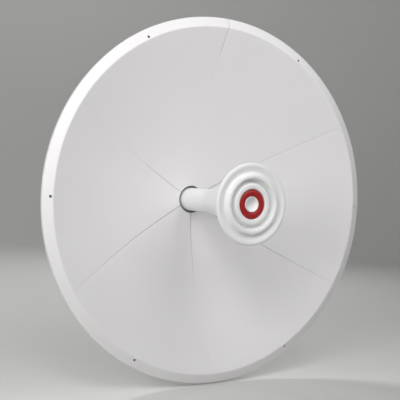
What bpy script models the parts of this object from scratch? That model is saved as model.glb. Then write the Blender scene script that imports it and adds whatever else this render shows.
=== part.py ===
"""Microwave dish antenna, 0.9 m: six pressed petals on a hub, a feed on the axis and a pole mount.

Metres, +Z up. The dish looks along -Y. The origin is on the flat rear face of the pole bracket,
the face that the pole is clamped against, at the height of the dish's axis.

Everything in front of the back plate is modelled in the dish's own frame, which the empty
dish_axis carries: its local +Z is the boresight, its local +Y is up, and its local origin is the
vertex of the paraboloid. The mount behind is modelled in world axes.
"""

import math

import bmesh
import bpy
from mathutils import Matrix, Vector

# Driving dimensions of the reflector
RIM_R = 0.450            # outer edge of the lip: the dish is 0.9 m across
CREASE_R = 0.4262        # where the paraboloid ends and the lip begins
LIP_DROP = 0.0066        # the lip falls back by this much from crease to outer edge
HEM_DEPTH = 0.008        # folded edge behind the lip
FOCAL = 0.293            # focal length of the paraboloid
OPENING_R = 0.036        # hole at the centre that the feed tube passes through
SHEET = 0.002            # sheet thickness of a petal
SEAM_GAP = 0.0004        # between two petals
PETALS = 6
COLUMNS = 10             # facets across a petal
FLANGE_START = 0.118     # the folded seam flanges run between these two radii
FLANGE_END = 0.410
FLANGE_DEPTH = 0.018
RIM_HOLE_R = 0.432       # circle of the six holes in the lip
RIM_HOLE_SIZE = 0.0022   # radius of such a hole
ROW_RADII = (OPENING_R, 0.062, 0.090, FLANGE_START, 0.155, 0.195, 0.235, 0.275, 0.315,
             0.350, 0.382, FLANGE_END, CREASE_R, RIM_R)

# Hub behind the petals
GAP = 0.0003             # clearance between pieces that touch
HUB_CLEARANCE = 0.0004   # between the hub and the curved sheet in front of it
HUB_R = 0.115
HUB_BORE = 0.0370
HUB_BOSS_R = 0.048
HUB_WEB = 0.007          # thickness of the hub's front wall
HUB_RING_R = 0.100       # inner radius of the hub's outer wall
HUB_REAR = -0.028        # rear face, in the dish's frame
LUG_END_R = 0.168
LUG_WIDTH = 0.014
LUG_SLOT = 0.0056        # the two seam flanges stand in it
LUG_DEPTH = 0.021

# Feed on the axis
TUBE_R = 0.0300
TUBE_BORE = 0.0270
TUBE_FRONT = 0.1000
COLLAR_FRONT = -0.004
CONE_FRONT_R = 0.0600
CONE_FRONT = 0.2690
CONE_FLARE = 0.020       # length of the curved start of the flare
SPIGOT_LENGTH = 0.020
PLATE_R = 0.0955
PLATE_FRONT = 0.2960     # foremost ridge of the splash plate
PLATE_REAR = 0.2815      # rear of its disc, the boss behind it reaches back to the cone
POCKET_R = 0.0350
POCKET_DEPTH = 0.0240
RING_OUTER = 0.0347
RING_INNER = 0.0183
RING_DEPTH = 0.0059      # the red ring's face lies this far behind the foremost ridge
DIMPLE_R = 0.0158        # mouth of the round hollow in the cap
DIMPLE_DEPTH = 0.0162    # its depth behind the ring's face

# Rear housing of the feed
HOUSING_FLANGE_R = 0.0435
HOUSING_FLANGE = 0.006
HOUSING_R = 0.033
HOUSING_END = -0.103
PAD_HALF = 0.011
PAD_LOW = -0.036
CONNECTOR_Y = (-0.110, -0.076)

# Mount
VERTEX_Y = -0.160        # the vertex lies this far in front of the pole face
BACK_PLATE = 0.005
BACK_PLATE_X = 0.110
BACK_PLATE_Z = 0.102
BACK_PLATE_CHAMFER = 0.012
BACK_PLATE_HOLE = 0.0445
CHEEK_IN = 0.070         # inner face of a cheek
CHEEK_SHEET = 0.004
CHEEK_FOOT = 0.036
CHEEK_HALF = 0.085
CHEEK_END_Y = -0.016
CHEEK_ROUND = 0.022
PIVOT_Y = -0.045
PIVOT_Z = -0.060
LOCK_Z = 0.060
SLOT_BACK = math.radians(8)
SLOT_FRONT = math.radians(22)
BOLT_R = 0.005
BOLT_HEAD_R = 0.0095
BOLT_HEAD = 0.0065
BRACKET_WEB = 0.005
BRACKET_FLANGE = 0.004
BRACKET_HALF = 0.100
BRACKET_FRONT_Y = -0.078
BEND_R = 0.006
POLE_R = 0.030           # the pole that the jaws are drawn for
ROD_X = 0.050
ROD_Z = 0.075
ROD_R = 0.004
ROD_END_Y = 0.100
ROD_HEAD_R = 0.0075
ROD_HEAD = 0.0055
ROD_CLEAR = 0.0005
JAW_FRONT_Y = 0.052
JAW_LUG_Y = 0.064
JAW_BACK_Y = 0.088
JAW_X = 0.066
JAW_HALF_HEIGHT = 0.017

ROUND_STEPS = 48
SMALL_STEPS = 12
TO_BORESIGHT = (math.pi / 2, 0, 0)   # turns local +Z to world -Y, local +Y to world +Z


def clear_scene():
    """Remove what the startup file holds."""
    for obj in list(bpy.data.objects):
        bpy.data.objects.remove(obj, do_unlink=True)


def new_collection(name):
    """A collection linked to the scene."""
    group = bpy.data.collections.new(name)
    bpy.context.scene.collection.children.link(group)
    return group


def finish(name, hex_colour, roughness, metallic=0.0):
    """A Principled material whose colour is given as an sRGB hex value."""
    channels = [int(hex_colour[i:i + 2], 16) / 255 for i in (0, 2, 4)]
    linear = [c / 12.92 if c <= 0.04045 else ((c + 0.055) / 1.055) ** 2.4 for c in channels]
    made = bpy.data.materials.new(name)
    made.use_nodes = True
    shader = made.node_tree.nodes["Principled BSDF"]
    shader.inputs["Base Color"].default_value = (*linear, 1.0)
    shader.inputs["Roughness"].default_value = roughness
    shader.inputs["Metallic"].default_value = metallic
    made.diffuse_color = (*linear, 1.0)
    return made


class Maker:
    """Puts objects in the part's collection, and cutters and joined pieces in the other one."""

    def __init__(self):
        self.parts = new_collection("microwave_dish_antenna")
        self.tools = new_collection("cutters")
        self.axis = bpy.data.objects.new("dish_axis", None)
        self.axis.location = (0, VERTEX_Y, 0)
        self.axis.rotation_euler = TO_BORESIGHT
        self.parts.objects.link(self.axis)

    def add(self, name, mesh, material=None, on_axis=False):
        """Link a mesh as a part when it has a material, or else as a helper that isn't drawn."""
        obj = bpy.data.objects.new(name, mesh)
        if material:
            mesh.materials.append(material)
            self.parts.objects.link(obj)
        else:
            self.tools.objects.link(obj)
            obj.hide_render = True
            obj.display_type = "WIRE"
        if on_axis:
            obj.parent = self.axis
        return obj


def to_mesh(bm, name):
    """Write a bmesh to a new mesh and free it."""
    mesh = bpy.data.meshes.new(name)
    bm.to_mesh(mesh)
    bm.free()
    return mesh


def cylinder_mesh(name, radius, low, high, sides=SMALL_STEPS):
    """A cylinder about local Z from low to high."""
    bm = bmesh.new()
    bmesh.ops.create_cone(bm, cap_ends=True, segments=sides, radius1=radius, radius2=radius,
                          depth=high - low)
    bmesh.ops.translate(bm, vec=(0, 0, (low + high) / 2), verts=bm.verts)
    return to_mesh(bm, name)


def box_mesh(name, low, high):
    """A box between two corners."""
    bm = bmesh.new()
    bmesh.ops.create_cube(bm, size=1)
    size = Vector(high) - Vector(low)
    bmesh.ops.scale(bm, vec=size, verts=bm.verts)
    bmesh.ops.translate(bm, vec=(Vector(high) + Vector(low)) / 2, verts=bm.verts)
    return to_mesh(bm, name)


def prism_mesh(name, outline, low, high):
    """A flat outline in local XY, made a slab from low to high in Z."""
    curve = bpy.data.curves.new(name, "CURVE")
    curve.dimensions = "2D"
    curve.fill_mode = "BOTH"
    curve.extrude = (high - low) / 2
    spline = curve.splines.new("POLY")
    spline.points.add(len(outline) - 1)
    for point, (x, y) in zip(spline.points, outline):
        point.co = (x, y, 0, 1)
    spline.use_cyclic_u = True
    guide = bpy.data.objects.new(name + "_outline", curve)
    bpy.context.scene.collection.objects.link(guide)
    graph = bpy.context.evaluated_depsgraph_get()
    mesh = bpy.data.meshes.new_from_object(guide.evaluated_get(graph))
    bpy.data.objects.remove(guide)
    bpy.data.curves.remove(curve)
    bm = bmesh.new()
    bm.from_mesh(mesh)
    bpy.data.meshes.remove(mesh)
    bmesh.ops.remove_doubles(bm, verts=bm.verts, dist=1e-6)
    bmesh.ops.recalc_face_normals(bm, faces=bm.faces)
    bmesh.ops.translate(bm, vec=(0, 0, (low + high) / 2), verts=bm.verts)
    return to_mesh(bm, name)


def turned(maker, name, profile, material, steps=ROUND_STEPS, closed=False):
    """Turn a profile of (radius, z) about the dish's axis; it runs down its outer side."""
    bm = bmesh.new()
    verts = [bm.verts.new((radius, 0, z)) for radius, z in profile]
    for first, second in zip(verts, verts[1:]):
        bm.edges.new((first, second))
    if closed:
        bm.edges.new((verts[-1], verts[0]))
    obj = maker.add(name, to_mesh(bm, name), material, on_axis=True)
    screw = obj.modifiers.new("turn", "SCREW")
    screw.axis = "Z"
    screw.steps = steps
    screw.render_steps = steps
    screw.use_merge_vertices = True
    screw.merge_threshold = 0.00005
    screw.use_smooth_shade = True
    return obj


def boolean(obj, other, operation):
    """Cut or join with the EXACT solver."""
    modifier = obj.modifiers.new(other.name, "BOOLEAN")
    modifier.operation = operation
    modifier.solver = "EXACT"
    modifier.object = other


def arc(centre, radius, start, end, steps):
    """Points along an arc, angles in radians."""
    cx, cy = centre
    angles = [start + (end - start) * i / steps for i in range(steps + 1)]
    return [(cx + radius * math.cos(a), cy + radius * math.sin(a)) for a in angles]


def dish_height(radius):
    """Height of the paraboloid above its vertex."""
    return radius * radius / (4 * FOCAL)


def behind_sheet(radius, clearance=HUB_CLEARANCE):
    """Height of the surface that lies just behind a petal's sheet."""
    slope = radius / (2 * FOCAL)
    return dish_height(radius) - (SHEET + clearance) * math.hypot(1, slope)


def petal_mesh():
    """One petal about local +X: pressed sheet with lip, hem and the two seam flanges."""
    rows = len(ROW_RADII) - 1
    bm = bmesh.new()
    bmesh.ops.create_grid(bm, x_segments=rows, y_segments=COLUMNS, size=1)
    seam = {}
    rim = []
    for vert in bm.verts:
        row = round((vert.co.x + 1) / 2 * rows)
        across = vert.co.y
        radius = ROW_RADII[row]
        half = math.pi / PETALS - math.asin(SEAM_GAP / 2 / radius)
        height = dish_height(min(radius, CREASE_R))
        if radius > CREASE_R:
            height -= LIP_DROP
            rim.append(vert)
        if abs(across) > 0.999 and FLANGE_START <= radius <= FLANGE_END:
            seam[vert] = math.copysign(1, across)
        angle = across * half
        vert.co = (radius * math.cos(angle), radius * math.sin(angle), height)
    flange_edges = [e for e in bm.edges
                    if e.is_boundary and seam.get(e.verts[0], 0) * seam.get(e.verts[1], 0) > 0]
    hem_edges = [e for e in bm.edges if e.is_boundary and all(v in rim for v in e.verts)]
    for edges, depth in ((flange_edges, FLANGE_DEPTH), (hem_edges, HEM_DEPTH)):
        made = bmesh.ops.extrude_edge_only(bm, edges=edges)["geom"]
        folded = [item for item in made if isinstance(item, bmesh.types.BMVert)]
        bmesh.ops.translate(bm, vec=(0, 0, -depth), verts=folded)
    return to_mesh(bm, "petal")


def make_petals(maker, powder_coat):
    """Six petals, counted anticlockwise from +X as seen from the front."""
    hole = cylinder_mesh("rim_hole", RIM_HOLE_SIZE, 0.10, 0.20)
    for index in range(PETALS):
        turn = Matrix.Rotation(index * 2 * math.pi / PETALS, 4, "Z")
        obj = maker.add(f"petal_{index + 1}", petal_mesh(), powder_coat, on_axis=True)
        obj.matrix_local = turn
        wall = obj.modifiers.new("sheet", "SOLIDIFY")
        wall.thickness = SHEET
        wall.offset = -1
        wall.use_even_offset = True
        cutter = maker.add(f"rim_hole_{index + 1}", hole.copy(), on_axis=True)
        cutter.matrix_local = turn @ Matrix.Translation((RIM_HOLE_R, 0, 0))
        boolean(obj, cutter, "DIFFERENCE")


def make_hub(maker, cast):
    """Turned casting behind the petals, with six slotted lugs that hold the seam flanges."""
    radii = (HUB_BORE, 0.055, 0.075, 0.095, HUB_R)
    front = [(r, behind_sheet(r)) for r in radii]
    rear = [(HUB_R, HUB_REAR), (HUB_RING_R, HUB_REAR),
            (HUB_RING_R, behind_sheet(HUB_RING_R) - HUB_WEB),
            (HUB_BOSS_R, behind_sheet(HUB_BOSS_R) - HUB_WEB),
            (HUB_BOSS_R, HUB_REAR), (HUB_BORE, HUB_REAR)]
    hub = turned(maker, "hub_casting", front + rear, cast, closed=True)
    root_r = HUB_R - 0.004
    over = 0.0007            # keeps a lug's front edge clear of the faceted sheet
    crown = [(r, behind_sheet(r) - over) for r in (root_r, 0.130, 0.150, LUG_END_R)]
    tip = behind_sheet(LUG_END_R) - LUG_DEPTH
    foot = behind_sheet(root_r) - LUG_DEPTH
    outline = crown + [(LUG_END_R, tip + 0.006), (LUG_END_R - 0.012, tip), (root_r, foot)]
    lug = prism_mesh("lug", outline, -LUG_WIDTH / 2, LUG_WIDTH / 2)
    slot = box_mesh("lug_slot", (HUB_R + 0.0008, -LUG_SLOT / 2, -0.05), (0.2, LUG_SLOT / 2, 0.05))
    stand = Matrix.Rotation(math.pi / 2, 4, "X")
    for index in range(PETALS):
        turn = Matrix.Rotation((index + 0.5) * 2 * math.pi / PETALS, 4, "Z")
        piece = maker.add(f"lug_{index + 1}", lug.copy(), on_axis=True)
        piece.matrix_local = turn @ stand
        boolean(hub, piece, "UNION")
    for index in range(PETALS):
        turn = Matrix.Rotation((index + 0.5) * 2 * math.pi / PETALS, 4, "Z")
        cutter = maker.add(f"lug_slot_{index + 1}", slot.copy(), on_axis=True)
        cutter.matrix_local = turn
        boolean(hub, cutter, "DIFFERENCE")


def cone_profile():
    """Outer side of the feed cone, from its wide front to its narrow rear."""
    rise = CONE_FRONT - TUBE_FRONT
    slope = (CONE_FRONT_R - TUBE_R) / (rise - CONE_FLARE / 2)
    steps = 5
    points = [(CONE_FRONT_R, CONE_FRONT)]
    for i in range(steps, -1, -1):
        along = CONE_FLARE * i / steps
        radius = TUBE_R + slope * along * along / (2 * CONE_FLARE)
        points.append((radius, TUBE_FRONT + GAP + along * (1 - GAP / CONE_FLARE)))
    return points


def plate_relief():
    """Front of the splash plate: (share of its radius, depth behind its foremost ridge)."""
    return ((0.377, 0.0045), (0.393, 0.0039), (0.440, 0.0037), (0.480, 0.0044), (0.513, 0.0066),
            (0.540, 0.0080), (0.565, 0.0060), (0.586, 0.0032), (0.610, 0.0009), (0.640, 0.0),
            (0.680, 0.0), (0.702, 0.0007), (0.723, 0.0023), (0.743, 0.0044), (0.765, 0.0056),
            (0.800, 0.0061), (0.840, 0.0060), (0.880, 0.0052), (0.920, 0.0046), (0.963, 0.0046),
            (0.990, 0.0052), (1.0, 0.0066))


def dimple_profile(face):
    """Round hollow in the cap, from its deepest point out to its mouth."""
    steps = 5
    points = []
    for i in range(steps + 1):
        angle = math.pi / 2 * i / steps
        points.append((DIMPLE_R * math.sin(angle),
                       face - 0.0013 - (DIMPLE_DEPTH - 0.0013) * math.cos(angle)))
    return points


def make_feed(maker, moulded, red, grey, alloy):
    """Collar, tube, cone, splash plate with its ring and cap, and the housing behind."""
    rear = HUB_REAR
    turned(maker, "feed_collar",
           [(TUBE_R + GAP, COLLAR_FRONT), (HUB_BORE - GAP, COLLAR_FRONT),
            (HUB_BORE - GAP, rear), (TUBE_R + GAP, rear)], grey, closed=True)
    turned(maker, "feed_tube",
           [(TUBE_BORE, TUBE_FRONT), (TUBE_R, TUBE_FRONT), (TUBE_R, rear), (TUBE_BORE, rear)],
           moulded, steps=32, closed=True)
    spigot = TUBE_BORE - GAP
    turned(maker, "feed_cone",
           [(0, CONE_FRONT)] + cone_profile()
           + [(spigot, TUBE_FRONT + GAP), (spigot, TUBE_FRONT - SPIGOT_LENGTH),
              (0, TUBE_FRONT - SPIGOT_LENGTH)], moulded, steps=40)
    floor = PLATE_FRONT - POCKET_DEPTH
    front = [(PLATE_R * share, PLATE_FRONT - depth) for share, depth in plate_relief()]
    turned(maker, "splash_plate",
           [(0, floor), (POCKET_R, floor), (POCKET_R, PLATE_FRONT - 0.0056)] + front
           + [(PLATE_R - 0.0008, PLATE_FRONT - 0.0110), (PLATE_R - 0.0040, PLATE_REAR),
              (CONE_FRONT_R, PLATE_REAR), (CONE_FRONT_R, CONE_FRONT + GAP),
              (0, CONE_FRONT + GAP)], moulded)
    face = PLATE_FRONT - RING_DEPTH
    turned(maker, "feed_ring",
           [(RING_INNER, face - 0.0016), (RING_INNER + 0.0018, face - 0.0005),
            (RING_INNER + 0.0055, face), (RING_OUTER - 0.0055, face),
            (RING_OUTER - 0.0018, face - 0.0006), (RING_OUTER, face - 0.0020),
            (RING_OUTER, floor + GAP), (RING_INNER, floor + GAP)],
           red, steps=40, closed=True)
    cap = RING_INNER - GAP
    turned(maker, "feed_cap",
           dimple_profile(face) + [(cap - 0.0008, face - 0.0013), (cap, face - 0.0020),
                                   (cap, floor + GAP), (0, floor + GAP)], moulded, steps=32)
    flange = rear - GAP
    housing = turned(maker, "feed_housing",
                     [(0, flange), (HOUSING_FLANGE_R, flange),
                      (HOUSING_FLANGE_R, flange - HOUSING_FLANGE),
                      (HOUSING_R, flange - HOUSING_FLANGE), (HOUSING_R, HOUSING_END + 0.005),
                      (HOUSING_R - 0.005, HOUSING_END), (0, HOUSING_END)], alloy, steps=32)
    pad = maker.add("connector_pad",
                    box_mesh("connector_pad", (-PAD_HALF, PAD_LOW, HOUSING_END + 0.008),
                             (PAD_HALF, 0, flange - HOUSING_FLANGE - 0.002)), on_axis=True)
    boolean(housing, pad, "UNION")


def make_connectors(maker, nickel):
    """Two coaxial sockets on the pad under the housing, pointing down."""
    profile = [(0, 0), (0.0090, 0), (0.0090, -0.0030), (0.0078, -0.0034), (0.0078, -0.0190),
               (0.0070, -0.0198), (0, -0.0198)]
    for name, y in zip(("connector_front", "connector_rear"), CONNECTOR_Y):
        obj = turned(maker, name, profile, nickel, steps=20)
        obj.parent = None
        obj.location = (0, y, PAD_LOW - GAP)


def make_back_plate(maker, galvanised):
    """Chamfered plate between the hub and the two cheeks, with a hole for the housing."""
    x, z, c = BACK_PLATE_X, BACK_PLATE_Z, BACK_PLATE_CHAMFER
    outline = [(x, c - z), (x, z - c), (x - c, z), (c - x, z), (-x, z - c), (-x, c - z),
               (c - x, -z), (x - c, -z)]
    high = HUB_REAR - GAP
    mesh = prism_mesh("back_plate", outline, high - BACK_PLATE, high)
    plate = maker.add("back_plate", mesh, galvanised, on_axis=True)
    hole = maker.add("back_plate_hole",
                     cylinder_mesh("back_plate_hole", BACK_PLATE_HOLE, -0.06, 0.0, ROUND_STEPS),
                     on_axis=True)
    boolean(plate, hole, "DIFFERENCE")


def cross_bolt_cutter(maker, name, y, z):
    """A cutter through both sides of the mount, 0.3 mm larger than the bolt."""
    cutter = maker.add(name, cylinder_mesh(name, BOLT_R + GAP, -0.1, 0.1, 16))
    cutter.location = (0, y, z)
    cutter.rotation_euler = (0, math.pi / 2, 0)
    return cutter


def arc_slot(radius, width, start, end):
    """Outline of a slot along an arc about the origin, with round ends."""
    half = width / 2
    far = (radius * math.cos(end), radius * math.sin(end))
    near = (radius * math.cos(start), radius * math.sin(start))
    return (arc((0, 0), radius + half, start, end, 8)
            + arc(far, half, end, end + math.pi, 6)[1:-1]
            + arc((0, 0), radius - half, end, start, 8)
            + arc(near, half, start + math.pi, start + 2 * math.pi, 6)[1:-1])


def make_cheeks(maker, galvanised):
    """Two angle brackets bolted to the back plate, slotted for the tilt of the dish."""
    foot_y = VERTEX_Y - HUB_REAR + BACK_PLATE + 2 * GAP
    inner, outer = CHEEK_IN, CHEEK_IN + CHEEK_SHEET
    plan = ([(inner, CHEEK_END_Y)] + arc((inner + BEND_R, foot_y + BEND_R), BEND_R,
                                         math.pi, 1.5 * math.pi, 4)
            + [(inner + CHEEK_FOOT, foot_y), (inner + CHEEK_FOOT, foot_y + CHEEK_SHEET)]
            + arc((outer + 0.002, foot_y + CHEEK_SHEET + 0.002), 0.002,
                  1.5 * math.pi, math.pi, 3)
            + [(outer, CHEEK_END_Y)])
    r = CHEEK_ROUND
    side = ([(-0.14, -CHEEK_HALF)]
            + arc((CHEEK_END_Y - r, r - CHEEK_HALF), r, -math.pi / 2, 0, 5)
            + arc((CHEEK_END_Y - r, CHEEK_HALF - r), r, 0, math.pi / 2, 5)
            + [(-0.14, CHEEK_HALF)])
    reach = LOCK_Z - PIVOT_Z
    up = math.pi / 2
    slot = arc_slot(reach, 2 * BOLT_R + 0.0012, up - SLOT_BACK, up + SLOT_FRONT)
    side_turn = (math.pi / 2, 0, math.pi / 2)   # local X to world Y, local Y to world Z
    for name, hand in (("tilt_cheek_left", -1), ("tilt_cheek_right", 1)):
        mesh = prism_mesh(name, [(hand * x, y) for x, y in plan], -CHEEK_HALF, CHEEK_HALF)
        cheek = maker.add(name, mesh, galvanised)
        trim = maker.add(name + "_trim", prism_mesh(name + "_trim", side, -0.12, 0.12))
        trim.rotation_euler = side_turn
        boolean(cheek, trim, "INTERSECT")
        cutter = maker.add(name + "_slot", prism_mesh(name + "_slot", slot, -0.1, 0.1))
        cutter.rotation_euler = side_turn
        cutter.location = (0, PIVOT_Y, PIVOT_Z)
        boolean(cheek, cutter, "DIFFERENCE")
        boolean(cheek, cross_bolt_cutter(maker, name + "_pivot", PIVOT_Y, PIVOT_Z), "DIFFERENCE")


def make_pole_bracket(maker, galvanised):
    """Bent channel between the cheeks; its web takes the pole and the four clamp rods."""
    out = CHEEK_IN - GAP
    inn = out - BRACKET_FLANGE
    r = BEND_R
    half = (arc((out - r, -r), r, math.pi / 2, 0, 4) + [(out, BRACKET_FRONT_Y)]
            + [(inn, BRACKET_FRONT_Y)]
            + arc((inn - 0.003, -BRACKET_WEB - 0.003), 0.003, 0, math.pi / 2, 3))
    outline = half + [(-x, y) for x, y in reversed(half)]
    mesh = prism_mesh("pole_bracket", outline, -BRACKET_HALF, BRACKET_HALF)
    bracket = maker.add("pole_bracket", mesh, galvanised)
    lean = 0.028
    side = [(0.01, -BRACKET_HALF - 0.01), (0.01, BRACKET_HALF + 0.01),
            (-0.012, BRACKET_HALF + 0.01), (-0.012, BRACKET_HALF),
            (BRACKET_FRONT_Y - 0.001, BRACKET_HALF - lean),
            (BRACKET_FRONT_Y - 0.001, lean - BRACKET_HALF),
            (-0.012, -BRACKET_HALF), (-0.012, -BRACKET_HALF - 0.01)]
    trim = maker.add("bracket_trim", prism_mesh("bracket_trim", side, -0.1, 0.1))
    trim.rotation_euler = (math.pi / 2, 0, math.pi / 2)
    boolean(bracket, trim, "INTERSECT")
    for name, z in (("bracket_pivot_hole", PIVOT_Z), ("bracket_lock_hole", LOCK_Z)):
        boolean(bracket, cross_bolt_cutter(maker, name, PIVOT_Y, z), "DIFFERENCE")
    for index, (x, z) in enumerate(rod_places()):
        name = f"bracket_rod_hole_{index + 1}"
        cutter = maker.add(name, cylinder_mesh(name, ROD_R + ROD_CLEAR, -0.02, 0.02, 16))
        cutter.location = (x, 0, z)
        cutter.rotation_euler = TO_BORESIGHT
        boolean(bracket, cutter, "DIFFERENCE")


def rod_places():
    """X and Z of the four clamp rods."""
    return [(x, z) for z in (ROD_Z, -ROD_Z) for x in (-ROD_X, ROD_X)]


def make_jaws(maker, galvanised):
    """Two V-jaws that close round the pole from behind."""
    apex = POLE_R + POLE_R * math.sqrt(2)
    half = [(0, apex), (apex - JAW_FRONT_Y, JAW_FRONT_Y), (JAW_X, JAW_FRONT_Y),
            (JAW_X, JAW_LUG_Y), (0.038, JAW_LUG_Y), (0.022, JAW_BACK_Y)]
    outline = half + [(-x, y) for x, y in reversed(half[1:])]
    for name, z in (("upper_jaw", ROD_Z), ("lower_jaw", -ROD_Z)):
        mesh = prism_mesh(name, outline, z - JAW_HALF_HEIGHT, z + JAW_HALF_HEIGHT)
        jaw = maker.add(name, mesh, galvanised)
        for side, x in (("left", -ROD_X), ("right", ROD_X)):
            hole = f"{name}_{side}_hole"
            cutter = maker.add(hole, cylinder_mesh(hole, ROD_R + ROD_CLEAR, -0.08, 0.0, 16))
            cutter.location = (x, 0, z)
            cutter.rotation_euler = TO_BORESIGHT
            boolean(jaw, cutter, "DIFFERENCE")


def bolt(maker, name, material, radius, length, heads):
    """A shank about local Z with hexagons on it, each given as (low, high, corner radius)."""
    low, high = length
    shank = maker.add(name, cylinder_mesh(name, radius, low, high), material)
    for index, (start, end, corner) in enumerate(heads):
        helper = f"{name}_hexagon_{index + 1}"
        piece = maker.add(helper, cylinder_mesh(helper, corner, start, end, 6))
        piece.parent = shank
        boolean(shank, piece, "UNION")
    return shank


def make_bolts(maker, zinc):
    """The two cross bolts of the tilt bracket and the four rods of the pole clamp."""
    face = CHEEK_IN + CHEEK_SHEET + GAP
    for name, z in (("pivot_bolt", PIVOT_Z), ("lock_bolt", LOCK_Z)):
        made = bolt(maker, name, zinc, BOLT_R, (-face - 0.012, face + BOLT_HEAD - 0.001),
                    [(face, face + BOLT_HEAD, BOLT_HEAD_R), (-face - 0.008, -face, BOLT_HEAD_R)])
        made.location = (0, PIVOT_Y, z)
        made.rotation_euler = (0, math.pi / 2, 0)
    head = BRACKET_WEB + GAP
    nut = JAW_LUG_Y + GAP
    for index, (x, z) in enumerate(rod_places()):
        made = bolt(maker, f"clamp_rod_{index + 1}", zinc, ROD_R,
                    (-ROD_END_Y, head + ROD_HEAD - 0.001),
                    [(head, head + ROD_HEAD, ROD_HEAD_R), (-nut - 0.0065, -nut, ROD_HEAD_R)])
        made.location = (x, 0, z)
        made.rotation_euler = TO_BORESIGHT


def main():
    """Build the antenna."""
    clear_scene()
    maker = Maker()
    powder_coat = finish("powder_coat_white", "D8D8DA", 0.45)
    moulded = finish("moulded_white_plastic", "E6E6E6", 0.35)
    red = finish("moulded_red_plastic", "9E2226", 0.35)
    grey = finish("grey_collar", "818284", 0.6)
    cast = finish("cast_aluminium", "B4B6B8", 0.5, 1.0)
    galvanised = finish("galvanised_steel", "A9ACAE", 0.45, 1.0)
    zinc = finish("zinc_bolt", "BDBFC0", 0.35, 1.0)
    nickel = finish("nickel_connector", "C4C2BC", 0.25, 1.0)
    make_petals(maker, powder_coat)
    make_hub(maker, cast)
    make_feed(maker, moulded, red, grey, cast)
    make_connectors(maker, nickel)
    make_back_plate(maker, galvanised)
    make_cheeks(maker, galvanised)
    make_pole_bracket(maker, galvanised)
    make_jaws(maker, galvanised)
    make_bolts(maker, zinc)


main()
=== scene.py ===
"""Looks of the microwave dish antenna: its fine shapes, finishes, fasteners, studio and camera.

Metres, +Z up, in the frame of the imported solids: the dish looks along -Y, and the origin is on the
face that the pole is clamped against. Pieces in front of the back plate are drawn in the dish's
own frame, whose +Z is the boresight and whose origin is the vertex of the paraboloid.
"""

from __future__ import annotations

import logging
import math
from collections.abc import Sequence
from dataclasses import dataclass
from enum import Enum

import bmesh
import bpy
from mathutils import Matrix, Vector


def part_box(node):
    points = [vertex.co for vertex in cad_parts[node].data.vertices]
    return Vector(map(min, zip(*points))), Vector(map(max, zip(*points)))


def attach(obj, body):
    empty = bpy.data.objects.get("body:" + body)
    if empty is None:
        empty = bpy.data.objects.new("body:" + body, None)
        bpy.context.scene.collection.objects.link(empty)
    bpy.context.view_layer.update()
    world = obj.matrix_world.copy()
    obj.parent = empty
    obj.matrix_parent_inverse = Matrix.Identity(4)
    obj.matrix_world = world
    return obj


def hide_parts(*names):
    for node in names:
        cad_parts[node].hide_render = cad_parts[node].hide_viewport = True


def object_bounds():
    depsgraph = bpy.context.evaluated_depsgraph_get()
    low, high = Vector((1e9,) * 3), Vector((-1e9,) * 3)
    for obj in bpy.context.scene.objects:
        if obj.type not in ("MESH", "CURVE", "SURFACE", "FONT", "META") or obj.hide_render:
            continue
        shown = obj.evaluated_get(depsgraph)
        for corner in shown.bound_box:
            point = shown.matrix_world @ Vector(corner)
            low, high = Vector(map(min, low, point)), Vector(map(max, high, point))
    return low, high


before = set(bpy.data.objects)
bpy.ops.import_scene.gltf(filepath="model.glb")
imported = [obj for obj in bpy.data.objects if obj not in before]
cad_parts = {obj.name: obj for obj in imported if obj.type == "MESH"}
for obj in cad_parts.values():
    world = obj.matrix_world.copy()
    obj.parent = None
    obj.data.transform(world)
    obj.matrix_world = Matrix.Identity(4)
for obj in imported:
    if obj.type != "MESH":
        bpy.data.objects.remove(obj)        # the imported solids, which stay as they are
PACKED_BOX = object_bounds()

LOG = logging.getLogger("antenna")
BODY = "root"
GAP = 0.0003             # between pieces that touch
JOINT = GAP / 3          # between faces that are pressed together
MM = 1000                # millimetres in a metre
TURN = 2 * math.pi
ON_AXIS = 1e-7           # a point of a profile within this radius is a pole
BEVELLED = math.radians(35)      # an edge that turns by more than this is rounded
HUB_REACH = 0.028        # from the vertex back to the hub's rear face

Point = tuple[float, float]
Triple = tuple[float, float, float]
Outline = list[Point]
Places = list[tuple[Vector, Vector]]     # where copies stand and the way that each one faces
VERTEX_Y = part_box("hub_casting")[1].y - HUB_REACH
UPRIGHT = Matrix.Rotation(math.pi / 2, 4, "X")                              # X, Y, Z to X, Z, -Y
ACROSS = Matrix(((0, 0, 1, 0), (1, 0, 0, 0), (0, 1, 0, 0), (0, 0, 0, 1)))   # X, Y, Z to Y, Z, X
TO_DISH = Matrix.Translation((0, VERTEX_Y, 0)) @ UPRIGHT
REARWARD = Vector((0, 1, 0))


def linear(hex_colour: str) -> tuple[float, float, float, float]:
    """Turn an sRGB hex colour to linear light.

    Args:
        hex_colour: Six hex digits.

    Returns:
        Red, green, blue and an alpha of one.
    """
    # The curve of the sRGB standard: a short straight foot, then a power
    channels = (int(hex_colour[i:i + 2], 16) / 255 for i in (0, 2, 4))
    return (*(c / 12.92 if c <= 0.04045 else ((c + 0.055) / 1.055) ** 2.4 for c in channels), 1.0)


def add_node(tree: bpy.types.NodeTree, kind: str, inputs: dict[str | int, object] | None = None,
             **settings: object) -> bpy.types.Node:
    """Add a node, set it up and feed its inputs.

    Args:
        tree: The tree that gets the node.
        kind: Blender's name for the node's type.
        inputs: For an input's name or number, a socket, several sockets in a list, or a value.
        **settings: The node's own properties.

    Returns:
        The new node.
    """
    node = tree.nodes.new(kind)
    for key, value in settings.items():
        setattr(node, key, value)
    for key, value in (inputs or {}).items():
        for source in value if isinstance(value, list) else [value]:
            if isinstance(source, bpy.types.NodeSocket):
                tree.links.new(source, node.inputs[key])
            else:
                node.inputs[key].default_value = source
    return node


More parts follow.
